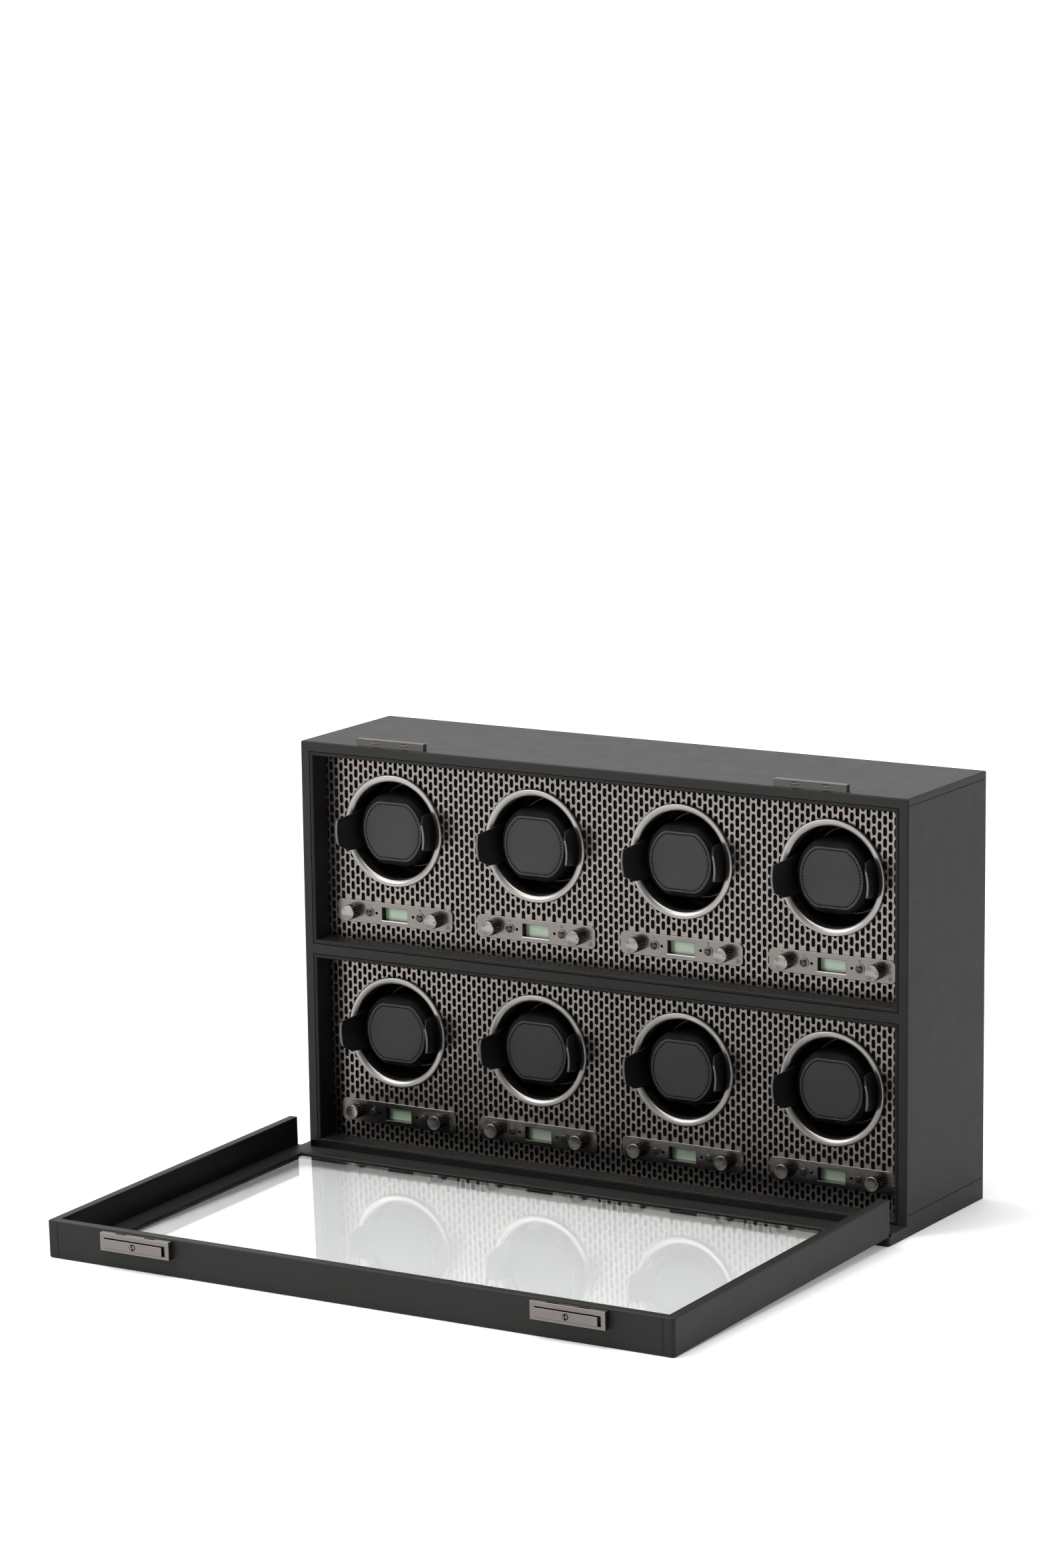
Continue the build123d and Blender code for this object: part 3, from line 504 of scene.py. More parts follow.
SHEET_T = 1.2 * MM
WINDER_RISE = 118.7 * MM  # a winder's axis over its row's floor
ROW_H, LINER_T = 196.8 * MM, 4.4 * MM
MARGIN = 2.5 * MM  # the sheet runs this far in behind the lining
FELT_INSET = 10.2 * MM  # from the case's side, just inside its board
FELT_GAP = 0.9 * MM
ROW_BOXES = []
for first in (0, 4):
    ring = WINDERS[first].z
    below = ring - WINDER_RISE + LINER_T - MARGIN
    above = ring - WINDER_RISE + ROW_H - LINER_T + MARGIN
    ROW_BOXES.append((below, above))
tile_verts, tile_faces = tile_mesh(*pierced_tile(*ROW_BOXES[0], WINDERS[0].z, CONTROLS[0].z), SHEET_T)
for row, name in enumerate(("upper", "lower")):
    parts = []
    for w in WINDERS[4 * row : 4 * row + 4]:
        parts.append(([(x + w.x, PANEL_Y + y, z + w.z - WINDERS[0].z) for x, y, z in tile_verts], tile_faces))
    v, f = merge(parts)
    sheet = piece(f"pierced_sheet_{name}", v, f, "case", PANEL, smooth=False)
    bm = bmesh.new()
    bm.from_mesh(sheet.data)
    bmesh.ops.remove_doubles(bm, verts=bm.verts, dist=0.00001)
    bmesh.ops.recalc_face_normals(bm, faces=bm.faces)
    # the cut walls of the slots get the black felt material: painted shade inside the slots
    for face in bm.faces:
        face.material_index = int(len(face.verts) == 4)  # the cut walls of the slots are dark
    bm.to_mesh(sheet.data)
    bm.free()
    sheet.data.materials.append(FELT_AND_SLOT_WALL_SHADE)
    if row == 0:
        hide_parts("slotted_panels")
    # black felt a little way behind the slots, open where the drums and control boards pass through
    lo, hi = ROW_BOXES[row]
    left, right = CASE_LO.x + FELT_INSET, CASE_HI.x - FELT_INSET
    holes = []
    for w, c in zip(WINDERS[4 * row : 4 * row + 4], CONTROLS[4 * row : 4 * row + 4]):
        holes.append(circle(w.x, w.z, 52.3 * MM, 64))
        holes.append([(c.x + sx * 63 * MM, c.z + sz * 8.6 * MM) for sx, sz in CORNERS])
    flat, tris = cut_flat([(left, lo), (right, lo), (right, hi), (left, hi)], holes)
    v = [(p.x / TO_MM, PANEL_BACK + FELT_GAP, p.y / TO_MM) for p in flat]
    f = [tuple(t) for t in tris]
    felt = piece(f"felt_backing_{name}", v, f, "case", FELT_AND_SLOT_WALL_SHADE, smooth=False)
    modifier(felt, "SOLIDIFY", thickness=0.5 * MM, offset=0.0)
    bake(felt)

# ---- bezel rings ----------------------------------------------------------------------------------
# the ring's section: a rounded outer lip, then a cone that leads into the bore
ring_profile = [(y * MM, r * MM) for y, r in (
    (0.0, 57.0), (-1.9, 56.9), (-2.8, 56.5), (-3.2, 55.7), (-3.25, 54.9), (-3.05, 53.6), (-2.65, 52.2),
    (-2.05, 50.9), (-1.3, 50.0), (-0.2, 49.6), (10.8, 49.6), (10.8, 51.4), (0.0, 51.4),
)]
for i, w in enumerate(WINDERS, 1):
    v, f = lathe(ring_profile, 128, (w.x, PANEL_Y, w.z))
    ring = piece(f"bezel_ring_{i}", v, f, "case", RING)
    if i == 1:
        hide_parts("bezel_rings")

# ---- rotors: turntable, two arms, cuff and pad ------------------------------------------------------
TABLE_Y = PANEL_Y + 40.0 * MM
CUFF_Y = FRONT + 20.0 * MM
CUFF_D, CUFF_RADIUS, CUFF_HALF_H = 40.0 * MM, 40.0 * MM, 35.6 * MM
CUFF_FRONT_Y = CUFF_Y + 2.4 * MM
PAD_BASE_Y = CUFF_Y + 2.0 * MM
PAD_OFFSET_X = 1.0 * MM
ARM_TIP_Y = FRONT - 2.0 * MM


def d_outline(radius, half_h, corner, steps=14):
    """A circle cut by a straight top and bottom, with eased corners, as (x, z) points, counter-clockwise."""
    a = math.asin(half_h / radius)
    pts = []
    for k in range(steps + 1):
        t = -a + 2 * a * k / steps
        pts.append((radius * math.cos(t), radius * math.sin(t)))
    flat = radius * math.cos(a)
    for k in range(1, steps):
        pts.append((flat - 2 * flat * k / steps, half_h))
    pts += [(-x, -z) for x, z in pts[:]]
    out = []
    n = len(pts)
    for i, (x, z) in enumerate(pts):
        window = [pts[(i + d) % n] for d in range(-corner, corner + 1)]
        out.append((sum(p[0] for p in window) / len(window), sum(p[1] for p in window) / len(window)))
    return out


def prism(levels):
    """Loops at given depths joined into a closed shape. levels holds (y, outline)."""
    n = len(levels[0][1])
    verts = [(x, y, z) for y, outline in levels for x, z in outline]
    faces = []
    for i in range(len(levels) - 1):
        for k in range(n):
            k2 = (k + 1) % n
            faces.append((i * n + k, i * n + k2, (i + 1) * n + k2, (i + 1) * n + k))
    verts += [(0.0, levels[0][0], 0.0), (0.0, levels[-1][0], 0.0)]
    first, last = len(verts) - 2, len(verts) - 1
    base = (len(levels) - 1) * n
    for k in range(n):
        k2 = (k + 1) % n
        faces.append((first, k2, k))
        faces.append((last, base + k, base + k2))
    return verts, faces


# The cuff is small, so its skin is light and its pressure high, or the cloth would hardly move.
CUFF_PRESSURE, CUFF_SKIN_MASS, CUFF_STIFFNESS, CUFF_FRAMES = 40.0, 0.05, 18, 20
CUFF_VOXEL = 3.8 * MM
CUFF_CAP = 2.0 * MM  # the skin's movement approaches this and never passes it


def cuff_mesh():
    """The cuff's cushion: a leather-covered block that is blown up a little and then held to size."""
    ease = 5.0 * MM  # radius of the form's rounded edges
    depth = CUFF_D - 3.2 * MM
    stack = [
        (ease * (1 - math.cos(math.radians(90 * k / 5))), ease * (1 - math.sin(math.radians(90 * k / 5))))
        for k in range(6)
    ]
    profile = stack + [(depth / 2, 0.0)] + [(depth - y, drop) for y, drop in stack[::-1]]
    loops = [(y, d_outline(CUFF_RADIUS - drop, CUFF_HALF_H - drop, 1)) for y, drop in profile]
    verts, faces = prism(loops)
    bm = bmesh.new()
    for v in verts:
        bm.verts.new(v)
    bm.verts.ensure_lookup_table()
    for f in faces:
        bm.faces.new([bm.verts[i] for i in f])
    bmesh.ops.recalc_face_normals(bm, faces=bm.faces)
    mesh = bpy.data.meshes.new("cuff_form")
    bm.to_mesh(mesh)
    bm.free()
    obj = bpy.data.objects.new("cuff_form", mesh)
    bpy.context.scene.collection.objects.link(obj)
    modifier(obj, "REMESH", mode="VOXEL", voxel_size=CUFF_VOXEL)
    bake(obj)
    rest = [v.co.copy() for v in obj.data.vertices]
    cloth = obj.modifiers.new("Cloth", "CLOTH")
    cloth.settings.use_pressure = True
    cloth.settings.uniform_pressure_force = CUFF_PRESSURE
    cloth.settings.mass = CUFF_SKIN_MASS
    cloth.settings.effector_weights.gravity = 0.0
    cloth.settings.tension_stiffness = CUFF_STIFFNESS
    cloth.settings.compression_stiffness = CUFF_STIFFNESS
    scene = bpy.context.scene
    for number in range(1, CUFF_FRAMES + 1):
        scene.frame_set(number)
    graph = bpy.context.evaluated_depsgraph_get()
    blown = obj.evaluated_get(graph).to_mesh()
    moved = [v.co.copy() for v in blown.vertices]
    obj.modifiers.clear()
    scene.frame_set(1)
    for v, before, after in zip(obj.data.vertices, rest, moved):
        step = after - before
        if step.length > 0.01 * MM:
            step *= CUFF_CAP * (1 - math.exp(-step.length / CUFF_CAP)) / step.length
        v.co = before + step
    modifier(obj, "SUBSURF", levels=1, render_levels=1)
    bake(obj)
    mesh = obj.data
    bpy.data.objects.remove(obj)
    return mesh


PAD_STITCH_SCALE = 0.9155  # the sewn channel's place on the pad's outline
PAD_STITCH_PITCH, PAD_STITCH_LENGTH = 3.1 * MM, 2.0 * MM
PAD_HIGHLIGHT_RINGS = 5  # rings of the pad that belong to its rim


def pad_parts():
    """The front pad: a raised rim, a sewn channel and a slightly crowned face, with its stitches."""
    outline = d_outline(34.4 * MM, 29.5 * MM, 1, 18)
    # scale of the outline and depth in millimetres, from the rim's back to the face's middle
    rings = [
        (1.000, 0.4), (1.000, -0.7), (0.994, -1.35), (0.982, -1.72), (0.966, -1.85), (0.945, -1.80),
        (0.932, -1.70), (0.921, -1.52), (0.910, -1.52), (0.898, -1.70), (0.880, -1.84), (0.82, -1.95),
        (0.70, -2.05), (0.50, -2.15), (0.25, -2.2),
    ]
    levels = [(y * MM, [(x * s, z * s) for x, z in outline]) for s, y in rings]
    verts, faces = prism(levels)
    stitch_loop = [Vector((x * PAD_STITCH_SCALE, z * PAD_STITCH_SCALE)) for x, z in outline]
    length = sum((b - a).length for a, b in zip(stitch_loop, stitch_loop[1:] + stitch_loop[:1]))
    count = round(length / PAD_STITCH_PITCH)
    pitch = length / count
    # one stitch, from end to end: place along it, thickness, depth in millimetres
    sections = (
        (0.0, 0.75, -1.62), (0.12, 1.0, -1.84), (0.5, 1.05, -1.92), (0.88, 1.0, -1.84), (1.0, 0.75, -1.62),
    )
    parts = []
    for k in range(count):
        ends = []
        for at in (k * pitch, k * pitch + PAD_STITCH_LENGTH):
            left = at
            for a, b in zip(stitch_loop, stitch_loop[1:] + stitch_loop[:1]):
                seg = (b - a).length
                if left <= seg:
                    ends.append(a + (b - a) * (left / seg))
                    break
                left -= seg
            else:
                ends.append(stitch_loop[0].copy())
        a, b = ends
        along = (b - a).normalized()
        side = Vector((-along.y, along.x))
        v, f = [], []
        for t, w, y in sections:
            c = a + (b - a) * t
            for q in range(6):
                ang = 2 * math.pi * q / 6
                p = c + side * (0.6 * MM * w * math.cos(ang))
                v.append((p.x, y * MM + 0.24 * MM * w * math.sin(ang), p.y))
        for s in range(len(sections) - 1):
            for q in range(6):
                f.append((s * 6 + q, s * 6 + (q + 1) % 6, (s + 1) * 6 + (q + 1) % 6, (s + 1) * 6 + q))
        f.append(tuple(range(5, -1, -1)))
        f.append(tuple(range((len(sections) - 1) * 6, len(sections) * 6)))
        parts.append((v, f))
    return (verts, faces, PAD_HIGHLIGHT_RINGS * len(outline)), merge(parts)


def arm_mesh():
    """The arm on the -X side: a curved blade, flared at its tip, with unequal corners."""
    rows, cols, thick = 22, 14, 2.2 * MM
    grid = []
    for i in range(rows + 1):
        t = i / rows
        d = (TABLE_Y - ARM_TIP_Y) * t ** 1.6
        flare = max(0.0, 1 - d / (23.0 * MM))
        radius = 47.4 * MM + 5.2 * MM * flare ** 1.25
        ease = 1.6 * MM * max(0.0, 1 - d / (2.2 * MM)) ** 2
        top = min(18.6 * MM, 11.2 * MM + 7.2 * MM * d / (38.0 * MM)) - ease
        low = min(21.0 * MM, 14.8 * MM + 6.2 * MM * d / (11.0 * MM)) - ease
        line = []
        for j in range(cols + 1):
            z = -low + (top + low) * j / cols
            line.append((ARM_TIP_Y + d, radius, z))
        grid.append(line)
    verts, faces = [], []
    for layer in (0.0, thick):
        for line in grid:
            for y, r, z in line:
                rr = r - layer
                verts.append((-math.sqrt(rr * rr - z * z), y, z))
    n, total = cols + 1, (rows + 1) * (cols + 1)
    for i in range(rows):
        for j in range(cols):
            a, b, c, d = i * n + j, i * n + j + 1, (i + 1) * n + j + 1, (i + 1) * n + j
            faces.append((a, b, c, d))
            faces.append((a + total, d + total, c + total, b + total))
    rim = (
        [j for j in range(n)]
        + [i * n + cols for i in range(1, rows + 1)]
        + [rows * n + j for j in range(cols - 1, -1, -1)]
        + [i * n for i in range(rows - 1, 0, -1)]
    )
    for a, b in zip(rim, rim[1:] + rim[:1]):
        faces.append((a, a + total, b + total, b))
    return verts, faces


def around(verts, winder, y=0.0, dx=0.0):
    """Vertices moved from the origin to a winder's axis."""
    return [(vx + winder.x + dx, vy + y, vz + winder.z) for vx, vy, vz in verts]


cuff_form = cuff_mesh()
(pad_v, pad_f, pad_highlight_verts), (stitch_v, stitch_f) = pad_parts()
arm_v, arm_f = arm_mesh()
# the turntable's section: hub, plate with a raised ring, then the shaft behind
table_profile = [
    (0.0, 0.001), (-5.0, 0.001), (-5.0, 11.4), (-4.6, 12.0), (-0.6, 12.0), (0.0, 12.6), (0.0, 40.9),
    (-1.6, 41.2), (-2.5, 41.4), (-2.5, 42.3), (-2.1, 42.6), (0.0, 42.8), (0.0, 46.8), (0.5, 47.3),
    (2.5, 47.3), (3.0, 46.8), (3.0, 8.5), (4.0, 3.0), (20.5, 3.0), (21.0, 2.6), (21.0, 0.001),
]
table_v, table_f = lathe([(y * MM, r * MM) for y, r in table_profile], 96, closed=False)

for i, w in enumerate(WINDERS, 1):
    body = f"rotor_body_{i}"
    mesh = cuff_form.copy()
    mesh.transform(Matrix.Translation((w.x, CUFF_FRONT_Y, w.z)))
    cuff = placed(f"cuff_{i}", mesh, body, CUFF)
    v = around(pad_v, w, PAD_BASE_Y, PAD_OFFSET_X)
    pad = piece(f"pad_{i}", v, pad_f, body, PAD)
    # the rim's rings get the lighter leather as a painted highlight along the raised rim
    pad.data.materials.append(PAD_RIM_PAINTED_HIGHLIGHT)
    for p in pad.data.polygons:
        if max(p.vertices) < pad_highlight_verts and len(p.vertices) == 4:
            p.material_index = 1
    v = around(stitch_v, w, PAD_BASE_Y, PAD_OFFSET_X)
    piece(f"pad_stitches_{i}", v, stitch_f, body, THREAD)
    both = merge([(arm_v, arm_f), ([(-x, y, -z) for x, y, z in arm_v], arm_f)])
    arms = piece(f"cradle_arms_{i}", around(both[0], w), both[1], body, ARM)
    modifier(arms, "BEVEL", width=0.7 * MM, segments=3, limit_method="ANGLE", angle_limit=math.radians(50))
    bake(arms)
    arms.data.materials.append(ARM_RIM_PAINTED_HIGHLIGHT)
    # the front edge faces get the lighter plastic as a painted highlight
    for p in arms.data.polygons:
        if p.center.y < ARM_TIP_Y + 0.75 * MM:
            p.material_index = 1
    table = piece(f"turntable_{i}", around(table_v, w, TABLE_Y), table_f, body, BLACK)
    table.data.materials.append(TABLE_RIM_PAINTED_HIGHLIGHT)
    # the front faces of the raised rim get the light grey as a painted highlight
    for p in table.data.polygons:
        r = math.hypot(p.center.x - w.x, p.center.z - w.z)
        if p.center.y < TABLE_Y - 2.2 * MM and 40 * MM < r < 43 * MM:
            p.material_index = 1
    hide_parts(f"rotor_{i}")

# ---- control plates: displays, knobs, buttons and marks -----------------------------------------------
KNOB_FLUTES, FLUTE_DEPTH = 18, 1.0
KNOB_HALF_GAP, BUTTON_HALF_GAP = 49.0 * MM, 30.0 * MM  # from the plate's middle


def knob_mesh():
    """A turned knob about +Y with its back at y = 0 and its face toward -Y."""
    steps = KNOB_FLUTES * 8
    # depth and radius in millimetres, and how much of a flute's depth is cut there
    profile = [
        (7.0, 3.0, 0), (0.0, 3.0, 0), (0.0, 7.2, 0), (-0.25, 7.75, 0), (-0.9, 7.8, 0.2), (-1.3, 7.75, 1),
        (-9.0, 7.6, 1), (-9.5, 7.55, 0.3), (-9.9, 7.45, 0), (-10.3, 7.4, 0), (-10.95, 7.35, 0),
        (-11.3, 7.05, 0), (-11.4, 6.7, 0), (-11.25, 6.4, 0), (-11.25, 0.001, 0),
    ]
    verts, faces = [], []
    n = len(profile)
    for k in range(steps):
        a = 2 * math.pi * k / steps
        flute = max(0.0, math.cos(KNOB_FLUTES * a)) ** 1.2
        for y, r, f in profile:
            rr = r - FLUTE_DEPTH * f * flute
            verts.append((rr * MM * math.cos(a), y * MM, rr * MM * math.sin(a)))
    for k in range(steps):
        k2 = (k + 1) % steps
        for i in range(n - 1):
            faces.append((k * n + i, k2 * n + i, k2 * n + i + 1, k * n + i + 1))
    faces.append(tuple(k * n for k in range(steps - 1, -1, -1)))
    return verts, faces


def turned(verts, angle, at):
    """Vertices turned about +Y by an angle that is clockwise for a viewer in front, then moved."""
    m = Matrix.Rotation(angle, 4, "Y")
    return [tuple(m @ Vector(v) + at) for v in verts]


def ring_arc(cx, cz, r, w, a0, a1, y, steps=18, depth=0.12 * MM):
    """A flat printed arc of width w on the plate's front."""
    verts, faces = [], []
    for k in range(steps + 1):
        a = math.radians(a0 + (a1 - a0) * k / steps)
        for rr in (r - w / 2, r + w / 2):
            for yy in (y - depth, y + 0.05 * MM):
                verts.append((cx + rr * math.cos(a), yy, cz + rr * math.sin(a)))
    for k in range(steps):
        b = 4 * k
        faces += [
            (b, b + 4, b + 6, b + 2),
            (b + 1, b + 3, b + 7, b + 5),
            (b, b + 1, b + 5, b + 4),
            (b + 2, b + 6, b + 7, b + 3),
        ]
    faces += [(0, 2, 3, 1), (4 * steps, 4 * steps + 1, 4 * steps + 3, 4 * steps + 2)]
    return verts, faces


def bar(x0, z0, x1, z1, w, y, depth=0.12 * MM):
    """A flat printed line."""
    a, b = Vector((x0, z0)), Vector((x1, z1))
    s = Vector((-(b - a).y, (b - a).x)).normalized() * w / 2
    corners = [a + s, b + s, b - s, a - s]
    verts = [(p.x, yy, p.y) for yy in (y - depth, y + 0.05 * MM) for p in corners]
    faces = [(0, 1, 2, 3), (7, 6, 5, 4)] + [(k, k + 4, (k + 1) % 4 + 4, (k + 1) % 4) for k in range(4)]
    return verts, faces


knob_v, knob_f = knob_mesh()
mark_v, mark_f = bar(0, 3.6 * MM, 0, 6.2 * MM, 0.7 * MM, -11.25 * MM, 0.06 * MM)
dome_profile = [
    (5.0 * MM, 0.00001), (5.0 * MM, 1.7 * MM), (0.8 * MM, 1.7 * MM), (0.8 * MM, 4.7 * MM), (0.0, 4.7 * MM),
    (0.0, 3.98 * MM), (-2.6 * MM, 3.98 * MM),
]
dome_profile += [
    (-(2.6 + 1.25 * math.sin(math.radians(a))) * MM, 3.98 * MM * math.cos(math.radians(a)) + 0.00001)
    for a in range(10, 91, 10)
]
dome_v, dome_f = lathe(dome_profile, 48, closed=False)
rim_profile = [
    (y * MM, r * MM)
    for y, r in ((-0.05, 5.1), (-0.4, 5.08), (-0.62, 4.9), (-0.7, 4.65), (-0.62, 4.4), (-0.05, 4.12))
]
rim_v, rim_f = lathe(rim_profile, 48)
KNOB_TURN = {"left": math.radians(-60), "right": math.radians(90)}

for i, c in enumerate(CONTROLS, 1):
    for side in ("left", "right"):
        at = Vector((KNOBS[side, i].x, PLATE_Y - 0.5 * MM, KNOBS[side, i].z))
        body = f"knob_body_{side}_{i}"
        knob = piece(f"knob_{side}_turned_{i}", turned(knob_v, 0, at), knob_f, body, KNOB_SKIRT)
        knob.data.materials.append(KNOB_FACE)
        knob.data.materials.append(KNOB_GROOVE_PAINTED_SHADE)
        # the face gets the knob-face metal; the flute grooves get the near-black metal as painted shade
        for p in knob.data.polygons:
            turn = math.atan2(p.center.z - at.z, p.center.x - at.x)
            if p.center.y < at.y - 10.0 * MM:
                p.material_index = 1
            elif -9.4 * MM < p.center.y - at.y < -1.0 * MM and math.cos(KNOB_FLUTES * turn) > 0.35:
                p.material_index = 2
        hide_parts(f"knob_{side}_{i}")
        v = turned(mark_v, KNOB_TURN[side], at)
        piece(f"knob_{side}_mark_{i}", v, mark_f, body, DARK_PRINT_AND_PAINTED_SHADE, smooth=False)
        bx = c.x + (-BUTTON_HALF_GAP if side == "left" else BUTTON_HALF_GAP)
        v = moved(dome_v, bx, PANEL_Y, c.z)
        dome = piece(f"button_{side}_dome_{i}", v, dome_f, f"button_body_{side}_{i}", DOME)
        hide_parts(f"button_{side}_{i}")
        v = moved(rim_v, bx, PLATE_Y, c.z)
        piece(f"button_{side}_rim_{i}", v, rim_f, "case", CHROME)
    # the display, and walls inside its window, black as painted shade
    outline = rounded_rect(30.4 * MM, 13.4 * MM, 0.4 * MM, 3)
    face_y = PLATE_Y + 6.9 * MM
    levels = [(face_y + 0.25 * MM, outline), (face_y, outline)]
    v, f = prism(levels)
    piece(f"display_{i}", moved(v, c.x, 0.0, c.z), f, "case", DISPLAY, smooth=False)
    inner = rounded_rect(30.0 * MM, 13.0 * MM, 0.5 * MM, 3)
    outer = rounded_rect(30.58 * MM, 13.58 * MM, 0.6 * MM, 3)
    n = len(inner)
    front, back = PLATE_Y + 0.15 * MM, face_y
    loops = ((front, outer), (front, inner), (back, inner), (back, outer))
    v = [(x + c.x, y, z + c.z) for y, loop in loops for x, z in loop]
    f = [
        (a * n + k, a * n + (k + 1) % n, ((a + 1) % 4) * n + (k + 1) % n, ((a + 1) % 4) * n + k)
        for a in range(4)
        for k in range(n)
    ]
    wall = piece(f"window_wall_painted_shade_{i}", v, f, "case", BLACK, smooth=False)
    wall.data.materials.append(PLATE)
    # the lower wall keeps the plate's metal as its lit face; the other walls stay black as painted shade
    for p in wall.data.polygons:
        if p.center.z < c.z - 6.3 * MM:
            p.material_index = 1
    # printed marks: ticks round the left knob, turning signs by the right one, - and + over the buttons
    marks = []
    kx, kz, y = c.x - KNOB_HALF_GAP, c.z, PLATE_Y
    for a in range(-150, 151, 60):
        s, co = math.sin(math.radians(a)), math.cos(math.radians(a))
        start, end = 9.0 * MM, 10.2 * MM
        marks.append(bar(kx + start * s, kz + start * co, kx + end * s, kz + end * co, 0.45 * MM, y))
    sx = c.x + 62.3 * MM
    for dz, a0, a1 in ((6.4, 60, 350), (0.0, 20, 340), (-6.4, 190, 480)):
        marks.append(ring_arc(sx, c.z + dz * MM, 1.9 * MM, 0.5 * MM, a0, a1, y))
        marks.append(ring_arc(sx, c.z + dz * MM, 0.5 * MM, 0.5 * MM, 0, 359, y, 10))
    for bx in (-30.0, 30.0):
        left, right = c.x + (bx - 1.6) * MM, c.x + (bx + 1.6) * MM
        marks.append(bar(left, c.z + 7.6 * MM, right, c.z + 7.6 * MM, 0.5 * MM, y))
    marks.append(bar(c.x + 30.0 * MM, c.z + 6.0 * MM, c.x + 30.0 * MM, c.z + 9.2 * MM, 0.5 * MM, y))
    v, f = merge(marks)
    piece(f"plate_marks_{i}", v, f, "case", INK, smooth=False)
    # a bright metal strip along the window's lower edge: a painted highlight on the lit lip
    v, f = bar(c.x - 15.4 * MM, c.z - 7.0 * MM, c.x + 15.4 * MM, c.z - 7.0 * MM, 0.8 * MM, y, 0.3 * MM)
    piece(f"window_lip_painted_highlight_{i}", v, f, "case", PAINTED_HIGHLIGHT_METAL, smooth=False)

# ---- door -------------------------------------------------------------------------------------------
DOOR_JOINT = JOINTS["case_door"]
HINGE = Vector(DOOR_JOINT["pos_m"])
OPEN = math.radians(DOOR_JOINT["range_deg"][1])
ALONG = Vector((0.0, -math.sin(OPEN), math.cos(OPEN)))  # from the hinge to the door's free end
THROUGH = Vector((0.0, math.cos(OPEN), math.sin(OPEN)))  # from the outer face to the inner face
DOOR_START, DOOR_LENGTH, INSET = 0.8 * MM, 411.4 * MM, 2.6 * MM
HALF_W = CASE_HI.x


def on_door(x, u, w):
    """A point on the door: place across it, distance from the hinge, depth from the outer face."""
    return HINGE + Vector((x, 0, 0)) + ALONG * (u + DOOR_START) + THROUGH * (w - INSET)


def sweep(path, section, closed=False):
    """A section of (offset, depth) points carried along a door path of (x, u) corners with mitred turns."""
    verts, faces = [], []
    m = len(section)
    count = len(path)
    for i, p in enumerate(path):
        p = Vector(p)
        before = Vector(path[(i - 1) % count]) if closed or i else None
        after = Vector(path[(i + 1) % count]) if closed or i < count - 1 else None
        d1 = (p - before).normalized() if before is not None else (after - p).normalized()
        d2 = (after - p).normalized() if after is not None else d1
        n1, n2 = Vector((-d1.y, d1.x)), Vector((-d2.y, d2.x))
        mitre = (n1 + n2).normalized()
        mitre /= max(0.3, mitre.dot(n1))
        for off, w in section:
            q = p + mitre * off
            verts.append(on_door(q.x, q.y, w))
    runs = count if closed else count - 1
    for i in range(runs):
        j = (i + 1) % count
        for k in range(m):
            k2 = (k + 1) % m
            faces.append((i * m + k, j * m + k, j * m + k2, i * m + k2))
    if not closed:
        faces.append(tuple(range(m - 1, -1, -1)))
        faces.append(tuple(range((count - 1) * m, count * m)))
    return verts, faces


def smooth_by_angle(obj, degrees):
    """Smooth shading with sharp edges where faces meet at more than an angle."""
    bm = bmesh.new()
    bm.from_mesh(obj.data)
    bmesh.ops.recalc_face_normals(bm, faces=bm.faces)
    for e in bm.edges:
        e.smooth = len(e.link_faces) == 2 and e.calc_face_angle(0.0) < math.radians(degrees)
    for f in bm.faces:
        f.smooth = True
    bm.to_mesh(obj.data)
    bm.free()


# the tray's inner lining stands along the three walls, with a rounded top
DOOR_WALL_T = 9.5 * MM
edge = HALF_W - DOOR_WALL_T
far = DOOR_LENGTH - DOOR_WALL_T
tray_path = [(-edge, 0.4 * MM), (-edge, far), (edge, far), (edge, 0.4 * MM)]
top_w = 36.7 * MM
section = [(-0.25 * MM, 8.1 * MM)]
for a in range(0, 181, 20):
    over, rise = 2.3 * MM * (1 - math.cos(math.radians(a))), 2.3 * MM * math.sin(math.radians(a))
    section.append((-0.25 * MM + over, top_w - 2.2 * MM + rise))
section = [(o if o < 4.3 * MM else 4.3 * MM, w) for o, w in section]
section += [(4.3 * MM, 30.0 * MM), (1.0 * MM, 30.0 * MM), (1.0 * MM, 8.1 * MM)]
v, f = sweep(tray_path, section)
lining = piece("door_lining", v, f, "door", LINING)
smooth_by_angle(lining, 35)

# ---- sewn seams, latch details with painted shade, strike catches with painted highlights -----------
BLOCK_FACES = [(3, 2, 1, 0), (4, 5, 6, 7)] + [(k, (k + 1) % 4, (k + 1) % 4 + 4, k + 4) for k in range(4)]


def seam(name, start, end, out, body, pitch=3.2 * MM, dash=2.3 * MM):
    """A sewn seam on a flat face: a dark pressed line with a row of raised stitches on it."""
    start, end, out = Vector(start), Vector(end), Vector(out).normalized()
    along = (end - start).normalized()
    side = along.cross(out)
    parts = []

    def slab(a, b, half, low, high):
        corners = ((a, 1), (b, 1), (b, -1), (a, -1))
        verts = [p + side * half * q + out * h for h in (low, high) for p, q in corners]
        return [tuple(v) for v in verts], BLOCK_FACES

    parts.append(slab(start, end, 0.4 * MM, -0.1 * MM, 0.04 * MM))
    count = int((end - start).length / pitch)
    for k in range(count):
        a = start + along * (k * pitch + (pitch - dash) / 2)
        parts.append(slab(a, a + along * dash, 0.3 * MM, -0.1 * MM, 0.22 * MM))
    v, f = merge(parts)
    piece(name, v, f, body, SEAM_THREAD, smooth=False)


